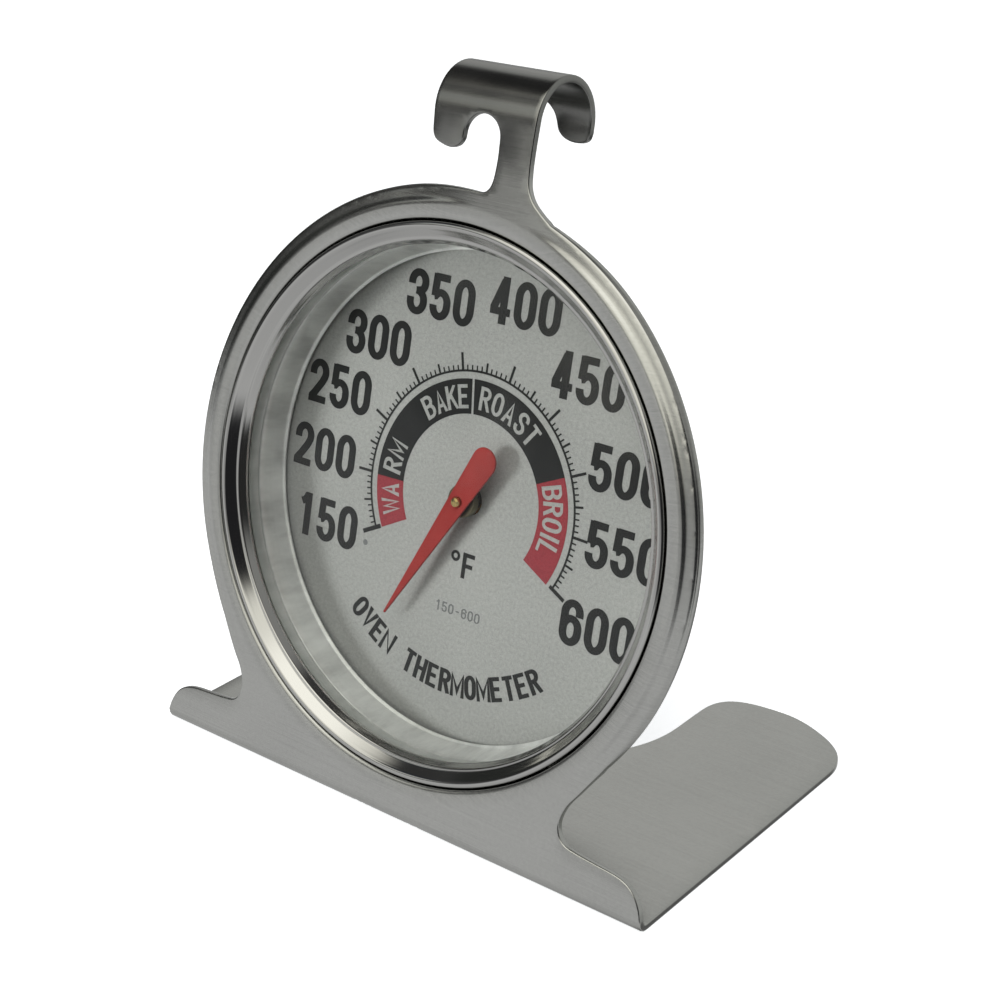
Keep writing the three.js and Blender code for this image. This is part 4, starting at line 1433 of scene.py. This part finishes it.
def print_dial():
    numerals = []
    for text, (x, z) in NUMERALS.items():
        numerals += word(text, x, z, **NUMERAL_PEN)
    ink("dial_numerals", numerals, "print_black")

    ticks = [scale_tick(value) for value in range(SCALE_FIRST, SCALE_LAST + 1, 5)]
    ink("dial_scale", [band(13.88, 14.12, -117.6, 117.6), *ticks], "print_black")

    cut = ring_text(BAND_LETTERS, BAND_TEXT_R, BAND_PEN, BAND_SPECIAL)
    cut.append(tick(9.0, 13.5, -7.0, width=0.30))
    for name, (start, end, finish) in BANDS.items():
        ink(name, [band(*BAND_R, start, end)], finish, cut=cut)

    # the title reads left to right along the lower arc, tops toward the centre
    sweep = TITLE_END - TITLE_START
    title = [(char, 180 - (TITLE_START + sweep * i / (len(TITLE) - 1)))
             for i, char in enumerate(TITLE) if char != " "]
    ink("dial_title", ring_text(title, TITLE_R, TITLE_PEN, TITLE_SPECIAL, turn=math.pi),
        "print_black")

    unit = place(glyph("F", width=1.75, height=2.9, pen_x=0.52, pen_y=0.46), 1.15, -7.3)
    unit.append([circle(0.62, 28, -0.75, -6.5), circle(0.28, 20, -0.75, -6.5)])
    ink("dial_unit", unit, "print_black")

    small = word("150-600", 0.5, -12.6, width=0.72, height=1.15, pen_x=0.17, pen_y=0.15,
                 pitch=0.92)
    small.append([circle(0.33, 20, -13.7, -8.6)])
    ink("dial_small_print", small, "print_grey", slot="print_black")


print_dial()

# ------------------------------------------------------------------ stage, in metres
FLOOR_HALF = 3.0
FLOOR_Z = -0.00002


def build_floor():
    """Pale floor that the camera sees brighter than it is lit."""
    h, z = FLOOR_HALF, FLOOR_Z
    mesh = bpy.data.meshes.new("floor")
    mesh.from_pydata([(-h, -h, z), (h, -h, z), (h, h, z), (-h, h, z)], [], [(0, 1, 2, 3)])
    floor = add_object("floor", mesh)
    floor.visible_glossy = False
    s = new_finish("floor_white")
    place_on_floor = s.node("ShaderNodeTexCoord").outputs["Object"]
    mottle = s.noise(place_on_floor, scale=9.0, detail=2, roughness=0.5)
    diffuse = s.node("ShaderNodeBsdfDiffuse", {
        "Color": s.ramp(mottle, [(0.3, 0.90), (0.7, 0.93)])})
    camera_ray = s.node("ShaderNodeLightPath").outputs["Is Camera Ray"]
    glow = s.node("ShaderNodeEmission", {
        "Color": (0.97, 0.985, 1.0), "Strength": s.math("MULTIPLY", camera_ray, 0.78)})
    s.surface(s.node("ShaderNodeAddShader", {0: diffuse.outputs[0], 1: glow.outputs[0]}))
    mesh.materials.append(FINISHES["floor_white"])


def direction(azimuth, elevation):
    """Unit vector from degrees. Azimuth 0 is toward the front, positive to the right."""
    a, e = math.radians(azimuth), math.radians(elevation)
    return (math.sin(a) * math.cos(e), -math.cos(a) * math.cos(e), math.sin(e))


# what the metal reflects: elevation, grey
SKY = [(-90, 0.10), (-72, 0.18), (-58, 0.48), (-25, 0.53), (-12, 0.60), (-6, 0.57), (-2, 0.40),
       (3, 0.36), (7, 0.22), (11, 0.12), (17, 0.08), (40, 0.045), (65, 0.03), (90, 0.05)]
# soft round patches: azimuth, elevation, outer radius, inner radius in degrees, colour
SKY_PATCHES = [
    (-150, 30, 26, 15, (0.56, 0.56, 0.545)),
    (141, -24, 30, 18, (0.12, 0.12, 0.12)),
    (150, 24, 58, 30, (0.48, 0.485, 0.47)),
    (-32, 4, 7.5, 3, (0.95, 0.95, 0.92)),
    (-8, 47, 40, 26, (1.12, 1.10, 1.0)),
    (-14, 20, 14, 7, (1.02, 1.0, 0.90)),
    (-6, 60, 24, 8, (1.55, 1.52, 1.40)),
    (-44, 27, 9, 4, (0.52, 0.54, 0.53)),
    (-38, 19, 8, 3, (0.66, 0.66, 0.62)),
    (-60, 8, 15, 9, (0.045, 0.045, 0.045)),
    (-56, 40, 12, 7, (0.03, 0.033, 0.04)),
    (-90, 12, 27, 19, (0.030, 0.032, 0.030)),
    (-38, 9, 8, 4, (0.06, 0.06, 0.06)),
    (38, 11, 29, 20, (0.02, 0.02, 0.022)),
    (70, 1, 24, 16, (0.03, 0.03, 0.03)),
    (98, 48, 34, 18, (0.30, 0.30, 0.29)),
]


def build_world():
    """Painted surroundings for reflections, dimmed for diffuse light, white to the camera."""
    world = bpy.data.worlds.new("studio")
    bpy.context.scene.world = world
    s = Shader(world, "ShaderNodeOutputWorld")
    generated = s.node("ShaderNodeTexCoord").outputs["Generated"]
    view = s.node("ShaderNodeVectorMath", {0: generated}, operation="NORMALIZE").outputs[0]
    view_z = s.node("ShaderNodeSeparateXYZ", {0: view}).outputs[2]
    sky = s.ramp(s.scaled(view_z, factor=0.5, offset=0.5), [
        (0.5 + 0.5 * math.sin(math.radians(elevation)), grey) for elevation, grey in SKY])
    for azimuth, elevation, outer, inner, colour in SKY_PATCHES:
        cosine = s.node("ShaderNodeVectorMath", {0: view, 1: direction(azimuth, elevation)},
                        operation="DOT_PRODUCT").outputs["Value"]
        patch = s.smooth_range(cosine, start=math.cos(math.radians(outer)),
                               end=math.cos(math.radians(inner)))
        sky = s.node("ShaderNodeMix", {0: patch, 6: sky, 7: colour},
                     data_type="RGBA").outputs[2]
    rays = s.node("ShaderNodeLightPath").outputs
    dimming = s.math("MULTIPLY", rays["Is Diffuse Ray"], 0.72)
    painted = s.node("ShaderNodeBackground", {
        "Color": sky, "Strength": s.math("SUBTRACT", 1.0, dimming)})
    white = s.node("ShaderNodeBackground", {"Color": (1, 1, 1), "Strength": 1.0})
    s.surface(s.mix_shader(rays["Is Camera Ray"], painted, white))


LIGHT_TARGET = Vector((0, 0, 0.035))


def area_light(name, azimuth, elevation, distance, size, power):
    light = bpy.data.lights.new(name, "AREA")
    light.shape = "DISK"
    light.size = size
    light.energy = power
    obj = add_object(name, light)
    position = LIGHT_TARGET + Vector(direction(azimuth, elevation)) * distance
    obj.location = position
    obj.rotation_euler = (LIGHT_TARGET - position).to_track_quat("-Z", "Y").to_euler()
    obj.visible_glossy = False
    obj.visible_camera = False


CAMERA_AIM = (9.816, 0, 3.499)  # face-frame millimetres
CAMERA_AZIMUTH, CAMERA_ELEVATION = 38.59, 24.09
CAMERA_DISTANCE = 0.1981


def build_camera():
    lens = bpy.data.cameras.new("camera")
    lens.sensor_fit = "HORIZONTAL"
    lens.sensor_width = 36.0
    lens.lens = 70.164
    lens.clip_start = 0.005
    lens.clip_end = 20
    camera = add_object("camera", lens)
    backward = Vector(direction(CAMERA_AZIMUTH, CAMERA_ELEVATION))
    aim = FACE @ Vector((*(c * MM for c in CAMERA_AIM), 1))
    camera.location = Vector(aim[:3]) + backward * CAMERA_DISTANCE
    camera.rotation_euler = backward.to_track_quat("Z", "Y").to_euler()
    bpy.context.scene.camera = camera


build_floor()
build_world()
area_light("key", azimuth=-38, elevation=-1.5, distance=0.8, size=0.22, power=7.6)
area_light("top", azimuth=24, elevation=62, distance=1.2, size=0.9, power=7.6)
build_camera()
bpy.context.scene.view_settings.view_transform = "Standard"
bpy.context.scene.view_settings.look = "None"
